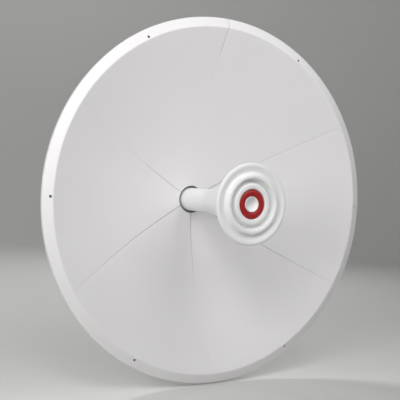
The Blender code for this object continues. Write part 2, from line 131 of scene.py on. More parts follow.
class Skin(Enum):
    """What breaks up the light on a surface at close range."""

    ORANGE_PEEL = "orange peel"
    MOULDED = "moulded"
    CAST = "as cast"
    SPANGLE = "spangle"
    PLATED = "plated"


@dataclass(frozen=True)
class Finish:
    """A surface finish: what it is made of and how its skin was made.

    The grain and the patches are real sizes in metres, and the relief is the height of the grain.
    """

    name: str
    colour: str
    drift: str               # colour that it drifts to in patches
    roughness: float
    skin: Skin
    grain: float
    relief: float
    patch: float = 0.08
    spread: float = 0.06     # how far the roughness wanders
    metallic: float = 0.0

    def height(self, tree: bpy.types.NodeTree, place: bpy.types.NodeSocket) -> bpy.types.NodeSocket:
        """Draw the fine relief of the skin.

        Args:
            tree: The material's tree.
            place: Where on the object the pattern is read.

        Returns:
            The height, from zero to one.
        """
        if self.skin is Skin.CAST:
            pits = add_node(tree, "ShaderNodeTexVoronoi", {"Vector": place, "Scale": 1 / self.grain},
                            feature="SMOOTH_F1")
            return pits.outputs["Distance"]
        detail = {Skin.ORANGE_PEEL: 1.0, Skin.MOULDED: 3.0, Skin.SPANGLE: 4.0, Skin.PLATED: 5.0}
        noise = add_node(tree, "ShaderNodeTexNoise", {
            "Vector": place, "Scale": 1 / self.grain, "Detail": detail[self.skin]})
        return noise.outputs["Fac"]

    def patches(self, tree: bpy.types.NodeTree, place: bpy.types.NodeSocket) -> bpy.types.NodeSocket:
        """Draw the broad patches over which the colour and the roughness drift.

        Args:
            tree: The material's tree.
            place: Where on the object the pattern is read.

        Returns:
            The share of the drift, from zero to one.
        """
        if self.skin is Skin.SPANGLE:
            warp = add_node(tree, "ShaderNodeTexNoise", {
                "Vector": place, "Scale": 1.5 / self.patch, "Detail": 2.0})
            shifted = add_node(tree, "ShaderNodeVectorMath", {
                0: warp.outputs["Color"], 1: (self.patch, self.patch, self.patch), 2: place},
                operation="MULTIPLY_ADD")
            cells = add_node(tree, "ShaderNodeTexVoronoi", {
                "Vector": shifted.outputs[0], "Scale": 1 / self.patch})
            split = add_node(tree, "ShaderNodeSeparateColor", {"Color": cells.outputs["Color"]})
            return split.outputs["Red"]
        noise = add_node(tree, "ShaderNodeTexNoise", {
            "Vector": place, "Scale": 1 / self.patch, "Detail": 3.0})
        return noise.outputs["Fac"]

    def material(self) -> bpy.types.Material:
        """Make the material.

        Returns:
            A node material named for the finish.
        """
        made = bpy.data.materials.new(self.name)
        made.use_nodes = True
        made.diffuse_color = linear(self.colour)
        tree = made.node_tree
        shader = tree.nodes["Principled BSDF"]
        shader.inputs["Metallic"].default_value = self.metallic
        place = add_node(tree, "ShaderNodeTexCoord").outputs["Object"]
        patches = self.patches(tree, place)
        # Of a colour mix, input 0 is the factor, 6 and 7 are the colours, and output 2 is the blend
        colour = add_node(tree, "ShaderNodeMix", {
            0: patches, 6: linear(self.colour), 7: linear(self.drift)}, data_type="RGBA")
        rough = add_node(tree, "ShaderNodeMapRange", {
            "Value": patches, "To Min": self.roughness - self.spread,
            "To Max": self.roughness + self.spread})
        bump = add_node(tree, "ShaderNodeBump", {
            "Height": self.height(tree, place), "Distance": self.relief, "Strength": 1.0})
        tree.links.new(colour.outputs[2], shader.inputs["Base Color"])
        tree.links.new(rough.outputs["Result"], shader.inputs["Roughness"])
        tree.links.new(bump.outputs["Normal"], shader.inputs["Normal"])
        return made


# Powder coat on pressed sheet: sprayed and baked, so the white is satin and its skin is a low
# orange peel, drawn at 2 mm so that it shows.
POWDER_COAT = Finish("powder_coated_aluminium", "ECEAEB", "E8E6E7", 0.48, Skin.ORANGE_PEEL,
                     0.0020, 0.000012, patch=0.20)
# Moulded ASA: a smooth white that stays glossier than the coat and takes a broad soft highlight.
MOULDED_ASA = Finish("moulded_asa", "EFEFEF", "EBEBEB", 0.36, Skin.MOULDED, 0.0012, 0.000006)
# Moulded ABS in red: satin, a little darker where the melt ran thick.
RED_ABS = Finish("moulded_red_abs", "A81A1C", "9B1719", 0.38, Skin.MOULDED, 0.0010, 0.00001,
                 patch=0.03)
# Glass-filled nylon: grey and matt, so the gap round the tube reads as a soft shadow.
GREY_NYLON = Finish("moulded_grey_nylon", "818284", "77787A", 0.62, Skin.MOULDED, 0.0008, 0.00003)
# Sand-cast aluminium: pale grey metal under a rough, pitted skin.
CAST_ALUMINIUM = Finish("cast_aluminium", "BFC0C1", "B1B2B4", 0.52, Skin.CAST, 0.0022, 0.00012,
                        patch=0.05, metallic=0.6)
# Hot-dip galvanised steel: crystals of zinc 9 mm wide, each with its own grey and its own gloss.
GALVANISED = Finish("hot_dip_galvanised_steel", "C1C3C4", "A3A6A8", 0.40, Skin.SPANGLE,
                    0.0030, 0.00004, patch=0.009, spread=0.14, metallic=0.6)
# Bright zinc plate on bolts: a cool, fine-grained sheen.
ZINC_PLATE = Finish("zinc_plated_steel", "CBCED2", "B7BBC1", 0.30, Skin.PLATED, 0.0015, 0.00001,
                    patch=0.01, metallic=1.0)
# Nickel plate on the sockets: warm, tight highlights.
NICKEL_PLATE = Finish("nickel_plated_brass", "CFCBC2", "C2BDB2", 0.20, Skin.PLATED, 0.0010,
                      0.000004, patch=0.01, spread=0.04, metallic=1.0)
# Gilt centre contact of a socket.
GILT = Finish("gilt_contact", "D9B25A", "CDA34C", 0.22, Skin.PLATED, 0.0006, 0.000002,
              patch=0.004, spread=0.03, metallic=1.0)
# Turned PTFE in a socket: a dense, waxy white.
PTFE = Finish("turned_ptfe", "E9E8E2", "E2E1DA", 0.40, Skin.MOULDED, 0.0005, 0.000004, patch=0.01)
# Painted cove of the studio.
COVE_PAINT = Finish("matt_cove_paint", "D6D6D4", "D2D2D0", 0.85, Skin.MOULDED, 0.004, 0.00002,
                    patch=0.6, spread=0.03)


class Wardrobe:
    """Keeps one material for each finish."""

    def __init__(self) -> None:
        """Start empty."""
        self.made: dict[str, bpy.types.Material] = {}

    def __getitem__(self, finish: Finish) -> bpy.types.Material:
        """Look up a material, which is made when it is first asked for.

        Args:
            finish: The finish.

        Returns:
            Its material.
        """
        if finish.name not in self.made:
            self.made[finish.name] = finish.material()
        return self.made[finish.name]


WARDROBE = Wardrobe()


def metres(points: Sequence[Point]) -> Outline:
    """Turn a table of points in mm to metres."""
    return [(x / MM, y / MM) for x, y in points]


def arc(centre: Point, radius: float, start: float, end: float, steps: int) -> Outline:
    """Points along an arc.

    Args:
        centre: Its centre.
        radius: Its radius.
        start: First angle in radians.
        end: Last angle in radians.
        steps: Number of steps between them.

    Returns:
        The points, both ends included.
    """
    angles = (start + (end - start) * i / steps for i in range(steps + 1))
    return [(centre[0] + radius * math.cos(a), centre[1] + radius * math.sin(a)) for a in angles]


def rounded(corners: Outline, radii: Sequence[float], steps: int = 5) -> Outline:
    """Round the corners of a closed outline.

    Args:
        corners: The sharp corners in order.
        radii: The radius at each corner, zero for one that stays sharp.
        steps: Steps along each round.

    Returns:
        The outline with an arc at each rounded corner.
    """
    outline: Outline = []
    for i, (corner, radius) in enumerate(zip(corners, radii)):
        here = Vector(corner)
        back = (Vector(corners[i - 1]) - here).normalized()
        on = (Vector(corners[(i + 1) % len(corners)]) - here).normalized()
        if radius <= 0:
            outline.append(corner)
            continue
        half = back.angle(on) / 2
        centre = here + (back + on).normalized() * radius / math.sin(half)
        first = here + back * radius / math.tan(half) - centre
        last = here + on * radius / math.tan(half) - centre
        sweep = math.atan2(first.x * last.y - first.y * last.x, first.dot(last))
        start = math.atan2(first.y, first.x)
        outline += arc(tuple(centre), radius, start, start + sweep, steps)
    return outline


def smooth_line(knots: Outline, steps: int) -> Outline:
    """Run a smooth curve through points, with level or steady slopes and no overshoot.

    Args:
        knots: The points, in order.
        steps: Steps between two of them.

    Returns:
        The finer line.
    """
    line: Outline = []
    ends = [knots[0], *knots, knots[-1]]
    for before, first, last, after in zip(ends, ends[1:], ends[2:], ends[3:]):
        for i in range(steps):
            t = i / steps
            weights = (-t / 2 + t * t - t ** 3 / 2, 1 - 2.5 * t * t + 1.5 * t ** 3,
                       t / 2 + 2 * t * t - 1.5 * t ** 3, (t ** 3 - t * t) / 2)
            line.append(tuple(sum(w * p[k] for w, p in zip(weights, (before, first, last, after)))
                              for k in (0, 1)))
    return [*line, knots[-1]]


def make_object(name: str, bm: bmesh.types.BMesh, place: Matrix) -> bpy.types.Object:
    """Write a bmesh to a new object at the origin, with its place in its mesh.

    Args:
        name: Name of the object.
        bm: The shape, which is freed.
        place: Where the shape goes.

    Returns:
        The linked object.
    """
    bmesh.ops.transform(bm, matrix=place, verts=bm.verts)
    mesh = bpy.data.meshes.new(name)
    bm.to_mesh(mesh)
    bm.free()
    made = bpy.data.objects.new(name, mesh)
    bpy.context.scene.collection.objects.link(made)
    return made


def lathe(name: str, profile: Outline, place: Matrix = TO_DISH, steps: int = 96,
          closed: bool = False) -> bpy.types.Object:
    """Turn a profile about the local Z axis.

    Args:
        name: Name of the object.
        profile: Points of (radius, height); an open one starts and ends on the axis.
        place: Where the shape goes.
        steps: Steps round the axis.
        closed: Whether the last point joins the first, as on a ring.

    Returns:
        A closed shape with its faces pointing out.
    """
    bm = bmesh.new()
    rings = []
    for radius, height in profile:
        count = 1 if radius < ON_AXIS else steps
        rings.append([bm.verts.new((radius * math.cos(TURN * i / steps),
                                    radius * math.sin(TURN * i / steps), height))
                      for i in range(count)])
    pairs = list(zip(rings, rings[1:])) + ([(rings[-1], rings[0])] if closed else [])
    for low, high in pairs:
        for i in range(steps):
            on = (i + 1) % steps
            corners = [low[i % len(low)], low[on % len(low)],
                       high[on % len(high)], high[i % len(high)]]
            distinct = list(dict.fromkeys(corners))
            if len(distinct) > 2:
                bm.faces.new(distinct)
    bmesh.ops.recalc_face_normals(bm, faces=bm.faces)
    return make_object(name, bm, place)


def slab(name: str, outline: Outline, low: float, high: float,
         place: Matrix = Matrix.Identity(4)) -> bpy.types.Object:
    """Give a flat outline in local XY a thickness along local Z.

    Args:
        name: Name of the object.
        outline: The corners in order.
        low: Lower face.
        high: Upper face.
        place: Where the shape goes.

    Returns:
        A closed shape with its faces pointing out.
    """
    bm = bmesh.new()
    lower, upper = ([bm.verts.new((x, y, z)) for x, y in outline] for z in (low, high))
    bm.faces.new(lower)
    bm.faces.new(upper)
    for i in range(len(outline)):
        on = (i + 1) % len(outline)
        bm.faces.new((lower[i], lower[on], upper[on], upper[i]))
    bmesh.ops.recalc_face_normals(bm, faces=bm.faces)
    return make_object(name, bm, place)


def peg(name: str, radius: float, low: float, high: float,
        place: Matrix = Matrix.Identity(4)) -> bpy.types.Object:
    """Make a round peg about local Z."""
    return slab(name, arc((0, 0), radius, 0, TURN, 48)[:-1], low, high, place)


def settle(piece: bpy.types.Object) -> None:
    """Turn what the modifiers make of a piece into its plain mesh.

    Args:
        piece: The object, whose modifiers are removed.
    """
    graph = bpy.context.evaluated_depsgraph_get()
    mesh = bpy.data.meshes.new_from_object(piece.evaluated_get(graph))
    piece.modifiers.clear()
    old, piece.data = piece.data, mesh
    bpy.data.meshes.remove(old)


class Join(Enum):
    """What is kept of a piece and of another shape that meets it."""

    CUT = "DIFFERENCE"
    ADD = "UNION"
    TRIM = "INTERSECT"


def combine(piece: bpy.types.Object, others: list[bpy.types.Object], how: Join = Join.CUT) -> None:
    """Cut other shapes out of a piece, add them to it or trim it by them.

    Args:
        piece: The shape that stays.
        others: The shapes that are used up.
        how: What is kept.
    """
    for other in others:
        step = piece.modifiers.new(other.name, "BOOLEAN")
        step.operation = how.value
        step.solver = "EXACT"
        step.object = other
        settle(piece)
        bpy.data.objects.remove(other)


def round_edges(piece: bpy.types.Object, width: float) -> None:
    """Break the sharp edges of a piece.

    Args:
        piece: The shape.
        width: Width of the rounding.
    """
    step = piece.modifiers.new("rounding", "BEVEL")
    step.width = width
    step.segments = 2
    step.limit_method = "ANGLE"
    step.angle_limit = BEVELLED
    settle(piece)


def shade(piece: bpy.types.Object, finish: Finish, sharp: float = 38) -> None:
    """Give a piece its material, and smooth shading between its sharp edges.

    Args:
        piece: The shape.
        finish: Its finish.
        sharp: Edges that turn by more than this many degrees stay sharp.
    """
    mesh = piece.data
    mesh.materials.clear()
    mesh.materials.append(WARDROBE[finish])
    mesh.shade_smooth()
    mesh.set_sharp_from_angle(angle=math.radians(sharp))


def finish_piece(piece: bpy.types.Object, finish: Finish, slot: str, *nodes: str,
                 sharp: float = 38, edge: float = 0.0) -> None:
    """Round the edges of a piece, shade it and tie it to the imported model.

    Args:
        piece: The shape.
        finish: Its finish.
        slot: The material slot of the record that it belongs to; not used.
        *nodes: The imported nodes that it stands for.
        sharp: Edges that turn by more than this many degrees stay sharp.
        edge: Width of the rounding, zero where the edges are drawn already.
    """
    if edge > 0:
        round_edges(piece, edge)
    shade(piece, finish, sharp)
    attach(piece, BODY)
    if nodes:
        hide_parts(*nodes)
    LOG.info("%s: %d faces", piece.name, len(piece.data.polygons))


@dataclass
class Reflector:
    """Six pressed petals: paraboloid, soft crease, lip, hem and the folded flanges of the seams."""

    petals: int = 6
    rim_r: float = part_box("petal_1")[1].x
    focal: float = 0.293
    opening_r: float = 0.036
    crease_r: float = 0.4262
    crease_round: float = 0.0055
    crease_steps: int = 9
    lip_drop: float = 0.0066
    edge_round: float = 0.003
    edge_steps: int = 7
    hem: float = 0.008
    sheet: float = 0.0015
    seam_gap: float = 0.00025    # between the flanges, behind the mouth of the seam
    bend: float = 0.00015        # bend of the edge of a closed seam, a wide mouth is rounder
    bend_steps: int = 5
    tuck: float = 0.0002         # what is left of the flange where it has run out
    knee: float = 0.4            # share of its depth in which a flange closes the mouth
    flange: float = 0.018
    flange_start: float = 0.118
    flange_end: float = 0.410
    ramp: float = 0.011          # a flange's ends run out over this length
    hole_r: float = 0.0031
    hole_circle: float = 0.432
    hole_cut: float = 0.005      # how far the cutter of the hole reaches to both sides
    nut_r: float = 0.0048        # closed clinch nut behind the hole, for a radome's screw
    nut_bore: float = 0.0033
    nut_length: float = 0.012
    nut_floor: float = 0.001
    nut_rounds: tuple[float, ...] = (0, 0, 0.0002, 0.0002, 0.0006, 0)
    row_step: float = 0.0075
    row_near: float = 0.002      # rows as near as this stand beside a flange's ends
    columns: int = 44
    # Mouths of the seams, from the one at 30 degrees on: a radius and the width there, in mm
    mouths: tuple[tuple[Point, ...], ...] = (
        ((36, 1.5), (140, 1.2), (260, 0.4), (420, 0.3)),
        ((36, 0.1), (350, 0.1), (380, 0.9), (420, 1.1)),
        ((36, 0.8), (100, 0.5), (150, 0.5), (200, 0.15), (300, 0.03), (420, 0.03)),
        ((36, 1.1), (220, 1.0), (320, 0.4), (400, 0.05), (420, 0.05)),
        ((36, 1.4), (100, 0.7), (150, 1.1), (220, 0.25), (300, 0.03), (420, 0.03)),
        ((36, 1.6), (180, 1.1), (300, 0.65), (360, 0.35), (420, 0.25)))

    def height(self, radius: float) -> float:
        """Return the height of the paraboloid above its vertex."""
        return radius * radius / (4 * self.focal)

    def slope(self, radius: float) -> float:
        """Return the paraboloid's slope as an angle."""
        return math.atan(radius / (2 * self.focal))

    def seam(self, index: int) -> Matrix:
        """Return the frame of a seam, with +X along it."""
        return TO_DISH @ Matrix.Rotation(TURN * (index + 0.5) / self.petals, 4, "Z")

    def meridian(self) -> list[Triple]:
        """Draw the front surface from the opening to the end of the hem.

        Returns:
            Points of (radius, height, slope angle).
        """
        start = self.slope(self.crease_r)
        lip = -math.atan2(self.lip_drop, self.rim_r - self.crease_r)
        reach = self.crease_round * math.tan((start - lip) / 2)
        join = self.crease_r - reach * math.cos(start)
        low, high, ramp, near = self.flange_start, self.flange_end, self.ramp, self.row_near
        ends = (low - near, low, low + ramp / 2, low + ramp,
                high - ramp, high - ramp / 2, high, high + near)
        # Even rows, except that those close to a flange's end give way to the rows there
        count = round((join - self.opening_r) / self.row_step)
        radii = (self.opening_r + (join - self.opening_r) * i / count for i in range(count))
        spaced = [r for r in radii if min(abs(r - end) for end in ends) > self.row_step / 4]
        points = [(r, self.height(r), self.slope(r)) for r in sorted([*spaced, *ends])]
        points += self.turn_over((join, self.height(join)), start, lip, self.crease_round,
                                 self.crease_steps)
        edge = self.height(self.crease_r) - self.lip_drop
        reach = self.edge_round * math.tan((lip + math.pi / 2) / 2)
        last = (self.rim_r - reach * math.cos(lip), edge - reach * math.sin(lip))
        r, z, _ = points[-1]
        for share in (0.25, 0.5, 0.75):
            points.append((r + (last[0] - r) * share, z + (last[1] - z) * share, lip))
        points += self.turn_over(last, lip, -math.pi / 2, self.edge_round, self.edge_steps)
        points.append((self.rim_r, edge - self.hem, -math.pi / 2))
        return points

    @staticmethod
    def turn_over(start: Point, first: float, last: float, radius: float,
                  steps: int) -> list[Triple]:
        """Bend the meridian backwards round an arc.

        Args:
            start: Point where the arc begins.
            first: Slope angle there.
            last: Slope angle at its end.
            radius: Radius of the arc.
            steps: Steps along it.

        Returns:
            Points of (radius, height, slope angle), both ends included.
        """
        centre = (start[0] + radius * math.sin(first), start[1] - radius * math.cos(first))
        angles = [first + (last - first) * i / steps for i in range(steps + 1)]
        return [(centre[0] - radius * math.sin(a), centre[1] + radius * math.cos(a), a)
                for a in angles]

    def lip_hole(self) -> Matrix:
        """Place a petal's hole, square to the lip.

        Returns:
            The place, with local Z pointing out of the lip's front.
        """
        run = self.rim_r - self.crease_r
        share = (self.hole_circle - self.crease_r) / run
        place = (self.hole_circle, 0, self.height(self.crease_r) - self.lip_drop * share)
        return Matrix.Translation(place) @ Matrix.Rotation(math.atan2(self.lip_drop, run), 4, "Y")

    def mouth(self, seam: int, radius: float) -> float:
        """Look up how wide a seam's mouth is.

        Args:
            seam: Number of the seam.
            radius: Where along it.

        Returns:
            The width there.
        """
        knots = self.mouths[seam % self.petals]
        for (low, first), (high, last) in zip(knots, knots[1:]):
            if radius * MM <= high:
                return (first + (last - first) * (radius * MM - low) / (high - low)) / MM
        return knots[-1][1] / MM

    def row(self, point: Triple, petal: int) -> list[Vector]:
        """Place one row of a petal about +X, from one flange over the sheet to the other.

        Args:
            point: Radius, height and slope angle of the meridian.
            petal: Which petal it is; its seams have the numbers petal - 1 and petal.

        Returns:
            The places, from the lower seam to the upper one.
        """
        radius, height, slope = point
        mouths = [self.mouth(petal - 1, radius), self.mouth(petal, radius)]
        bends = [self.bend + mouth / 2 for mouth in mouths]
        low, high = (math.pi / self.petals - math.asin((mouth / 2 + bend) / radius)
                     for mouth, bend in zip(mouths, bends))
        places = [Vector((radius * math.cos(a), radius * math.sin(a), height))
                  for a in (-low + (low + high) * i / self.columns for i in range(self.columns + 1))]
        # A flange fades in and out at its ends, and it closes the mouth behind the edge
        share = max(0.0, min(1.0, (radius - self.flange_start) / self.ramp,
                             (self.flange_end - radius) / self.ramp))
        edges = []
        for hand, base, mouth, bend in zip((-1, 1), (places[0], places[-1]), mouths, bends):
            seam = hand * math.pi / self.petals
            along = Vector((math.cos(seam), math.sin(seam), 0))
            towards = Vector((-math.sin(seam), math.cos(seam), 0)) * hand
            inward = along * math.sin(slope) - Vector((0, 0, math.cos(slope)))
            side = []
            for i in range(1, self.bend_steps + 1):
                a = math.pi / 2 * i / self.bend_steps
                side.append(base + towards * bend * math.sin(a)
                            + inward * bend * (1 - math.cos(a)))
            lean = (mouth - self.seam_gap) / 2 * share
            curl = bend + self.tuck
            tip = (base + towards * (bend + lean)
                   + inward * (curl + (self.flange - curl) * share))
            side += [side[-1].lerp(tip, self.knee) + towards * lean * (1 - self.knee), tip]
            edges.append(side)
        return [*reversed(edges[0]), *places, *edges[1]]

    def build_petal(self, index: int, meridian: list[Triple]) -> None:
        """Make a petal and the clinch nut behind its hole.

        Args:
            index: Which petal it is, anticlockwise from +X as seen from the front.
            meridian: Points of (radius, height, slope angle) along the front surface.
        """
        bm = bmesh.new()
        verts = [[bm.verts.new(place) for place in self.row(point, index)] for point in meridian]
        for low, high in zip(verts, verts[1:]):
            for i in range(len(low) - 1):
                bm.faces.new((low[i], high[i], high[i + 1], low[i + 1]))
        turn = TO_DISH @ Matrix.Rotation(TURN * index / self.petals, 4, "Z")
        piece = make_object(f"pressed_petal_{index + 1}", bm, turn)
        wall = piece.modifiers.new("sheet", "SOLIDIFY")
        wall.thickness = self.sheet
        wall.offset = -1
        wall.use_even_offset = True
        settle(piece)
        hole = turn @ self.lip_hole()
        combine(piece, [peg("rim_hole", self.hole_r, -self.hole_cut, self.hole_cut, hole)])
        finish_piece(piece, POWDER_COAT, "petals", f"petal_{index + 1}", sharp=45)
        front, back = -self.sheet - JOINT, -self.sheet - self.nut_length
        floor = back + self.nut_floor
        profile = rounded([(0, floor), (self.nut_bore, floor), (self.nut_bore, front),
                           (self.nut_r, front), (self.nut_r, back), (0, back)], self.nut_rounds, 2)
        nut = lathe(f"clinch_nut_{index + 1}", profile, hole, steps=48)
        finish_piece(nut, ZINC_PLATE, "zinc")

    def build(self) -> None:
        """Make the petals and their clinch nuts."""
        meridian = self.meridian()
        for index in range(self.petals):
            self.build_petal(index, meridian)


@dataclass
class Hub:
    """Turned casting behind the petals, with six slotted lugs that hold the seam flanges."""

    reflector: Reflector
    skin_gap: float = 0.0024     # the petals' sheet and its clearance
    outer_r: float = 0.115
    ring_r: float = 0.100
    boss_r: float = 0.048
    bore: float = 0.0370
    web: float = 0.007
    front_steps: int = 8
    machined: float = 0.0012     # rounding of the machined edges
    fillet: float = 0.003        # rounding of the web's corners
    edge: float = 0.0007         # rounding of the lugs' edges
    lug_radii: tuple[float, ...] = (0.111, 0.130, 0.150, 0.168)
    lug_width: float = 0.014
    lug_depth: float = 0.021
    lug_clear: float = 0.0007
    lug_cut: Point = (0.012, 0.006)      # what the slanting end takes off the outer rear corner
    lug_rounds: tuple[float, ...] = (0, 0, 0, 0.001, 0.004, 0.006, 0)
    slot_width: float = 0.0056
    slot_start: float = 0.1158
    slot_end: float = 0.2
    slot_half: float = 0.06

    def behind(self, radius: float) -> float:
        """Return the height of the surface just behind the petals."""
        slope = self.reflector.slope(radius)
        return self.reflector.height(radius) - self.skin_gap / math.cos(slope)

    def build(self) -> None:
        """Make the casting with its lugs."""
        rear, steps = -HUB_REACH, self.front_steps
        span = self.outer_r - self.bore
        front = [(r, self.behind(r)) for r in (self.bore + span * i / steps for i in range(steps + 1))]
        ring_floor = self.behind(self.ring_r) - self.web
        boss_floor = self.behind(self.boss_r) - self.web
        back = [(self.outer_r, rear), (self.ring_r, rear), (self.ring_r, ring_floor),
                (self.boss_r, boss_floor), (self.boss_r, rear), (self.bore, rear)]
        rounds = [0] * len(front) + [self.machined] * 2 + [self.fillet] * 2 + [self.machined, 0]
        casting = lathe("hub_body", rounded(front + back, rounds, 3), closed=True, steps=120)
        root, end = self.lug_radii[0], self.lug_radii[-1]
        crown = [(r, self.behind(r) - self.lug_clear) for r in self.lug_radii]
        tip, foot = (self.behind(r) - self.lug_depth for r in (end, root))
        back_cut, rise = self.lug_cut
        shape = rounded(crown + [(end, tip + rise), (end - back_cut, tip), (root, foot)],
                        self.lug_rounds, 4)
        half, slot = self.lug_width / 2, self.slot_width / 2
        near, far = self.slot_start, self.slot_end
        gap = [(near, -slot), (far, -slot), (far, slot), (near, slot)]
        lugs, slots = [], []
        for index in range(self.reflector.petals):
            turn = self.reflector.seam(index)
            lugs.append(slab(f"lug_{index}", shape, -half, half, turn @ UPRIGHT))
            slots.append(slab(f"slot_{index}", gap, -self.slot_half, self.slot_half, turn))
        combine(casting, lugs, Join.ADD)
        combine(casting, slots)
        finish_piece(casting, CAST_ALUMINIUM, "casting", "hub_casting", edge=self.edge)


@dataclass
class Feed:
    """What stands on the axis: collar, tube, cone, splash plate, ring, cap, housing, sockets."""

    tube_r: float = 0.0300
    tube_bore: float = 0.0270
    tube_front: float = 0.1000
    tube_round: float = 0.0004
    hub_bore: float = 0.0370
    collar_front: float = -0.004
    collar_round: float = 0.0008
    cone_r: float = 0.0600
    cone_front: float = 0.2690
    flare: float = 0.020
    flare_steps: int = 16
    spigot: float = 0.020        # how deep the cone sits in the tube
    plate_r: float = 0.0955
    plate_front: float = 0.2960
    plate_rear: float = 0.2815
    # Points of (radius, depth behind the foremost ridge) in mm: pocket's edge, ridges, plate's edge
    pocket_edge: tuple[Point, ...] = ((35.0, 6.6), (35.3, 5.8))
    ridges: tuple[Point, ...] = (
        (35.8, 5.1), (37.5, 4.1), (40.0, 3.6), (44.5, 3.6), (46.6, 4.5), (48.4, 7.2), (50.2, 11.4),
        (52.2, 14.2), (54.6, 14.6), (56.6, 12.0), (58.2, 6.2), (59.4, 2.2), (60.8, 0.6),
        (62.8, 0.05), (65.0, 0.1), (67.2, 0.7), (69.3, 2.6), (70.9, 6.0), (72.2, 8.4), (74.0, 9.4),
        (76.6, 9.3), (80.4, 8.0), (84.4, 6.1), (88.0, 4.8), (91.2, 4.7), (93.8, 5.5), (95.2, 7.0))
    plate_edge: tuple[Point, ...] = ((95.5, 7.6), (95.5, 9.2), (95.1, 10.6), (94.1, 11.8))
    plate_bevel: float = 0.0040
    pocket_r: float = 0.0350
    pocket_depth: float = 0.0240
    ring_outer: float = 0.0347
    ring_inner: float = 0.0183
    ring_depth: float = 0.0059
    ring_dome: float = 0.0028    # how far the dome falls off towards both edges
    ring_edge: float = 0.0034    # how far the ring's sharp edges lie behind its crown
    cap_depth: float = 0.0012    # behind the ring's crown
    dimple_r: float = 0.0173
    dimple_depth: float = 0.0163     # behind the ring's crown
    dimple_steps: int = 16
    # The cap's thin rim: how far out from the hollow, or in from the cap's side, and how far up
    rim_inner: Point = (0.0002, 0.0002)
    rim_outer: tuple[Point, ...] = ((0.0003, 0.0001), (0.0, -0.0004))
    housing_flange_r: float = 0.0435
    housing_flange: float = 0.006
    housing_r: float = 0.033
    housing_end: float = -0.103
    housing_step: Point = (0.006, 0.002)     # how far the rear face's edge reaches in, and its depth
    housing_rounds: tuple[float, ...] = (0, 0.0008, 0.0008, 0.002, 0.004, 0.001, 0.001, 0)
    pad_half: float = 0.011
    pad_inset: Point = (0.008, 0.002)        # from the housing's end and from its flange
    pad_round: float = 0.003
    pad_low: float = -0.036
    edge: float = 0.0006         # rounding of the pad's edges
    # Profiles of a socket in mm: (radius, height), with its threaded end at the bottom
    socket_y: Point = (-0.110, -0.076)
    socket_body: tuple[Point, ...] = ((0, -11.0), (6.4, -11.0), (6.4, -19.8), (7.4, -19.8),
                                      (7.4, -3.4), (9.0, -3.4), (9.0, 0), (0, 0))
    socket_rounds: tuple[float, ...] = (0, 0, 0.0002, 0.0004, 0.0003, 0.0004, 0, 0)
    insulator: tuple[Point, ...] = ((0, -10.8), (6.1, -10.8), (6.1, -12.4), (3.0, -12.4),
                                    (3.0, -17.5), (1.4, -17.5), (1.4, -12.4), (0, -12.4))
    contact: tuple[Point, ...] = ((0, -12.2), (1.2, -12.2), (1.2, -16.5), (0.8, -17.0),
                                  (0.5, -17.0), (0.5, -14.0), (0, -14.0))

    def below_crest(self, points: Sequence[Point]) -> Outline:
        """Turn a table of radii and depths in mm to radii and heights."""
        return [(radius, self.plate_front - depth) for radius, depth in metres(points)]

    def build_collar(self) -> None:
        """Make the collar that centres the tube in the hub."""
        front, rear = self.collar_front, -HUB_REACH
        outer, inner = self.hub_bore - GAP, self.tube_r + GAP
        collar = rounded([(inner, front), (outer, front), (outer, rear), (inner, rear)],
                         [self.collar_round] * 2 + [0, 0], 3)
        finish_piece(lathe("tube_collar", collar, closed=True), GREY_NYLON, "grey_collar",
                     "feed_collar")

    def build_tube(self) -> None:
        """Make the tube and the flared cone that is pressed into it."""
        front, rear = self.tube_front, -HUB_REACH
        tube = rounded([(self.tube_bore, front), (self.tube_r, front), (self.tube_r, rear),
                        (self.tube_bore, rear)], [0, self.tube_round, 0, 0], 3)
        finish_piece(lathe("waveguide_tube", tube, closed=True, steps=128), MOULDED_ASA,
                     "white_plastic", "feed_tube")
        rise = self.cone_front - front
        steep = (self.cone_r - self.tube_r) / (rise - self.flare / 2)
        sides = []
        for i in range(self.flare_steps, -1, -1):
            along = self.flare * i / self.flare_steps
            sides.append((self.tube_r + steep * along * along / (2 * self.flare),
                          front + JOINT + along * (1 - JOINT / self.flare)))
        neck, foot = self.tube_bore - GAP, front - self.spigot
        cone = [(0, self.cone_front), (self.cone_r, self.cone_front), *sides,
                (neck, front + JOINT), (neck, foot), (0, foot)]
        finish_piece(lathe("flared_cone", cone, steps=128), MOULDED_ASA, "white_plastic",
                     "feed_cone")

    def build_plate(self) -> None:
        """Make the splash plate with its ridges and its pocket."""
        floor, seat = self.plate_front - self.pocket_depth, self.cone_front + JOINT
        profile = [(0, floor), (self.pocket_r, floor), *self.below_crest(self.pocket_edge),
                   *smooth_line(self.below_crest(self.ridges), 5),
                   *self.below_crest(self.plate_edge),
                   (self.plate_r - self.plate_bevel, self.plate_rear),
                   (self.cone_r, self.plate_rear), (self.cone_r, seat), (0, seat)]
        finish_piece(lathe("ridged_splash_plate", profile, steps=144), MOULDED_ASA,
                     "white_plastic", "splash_plate", sharp=50)

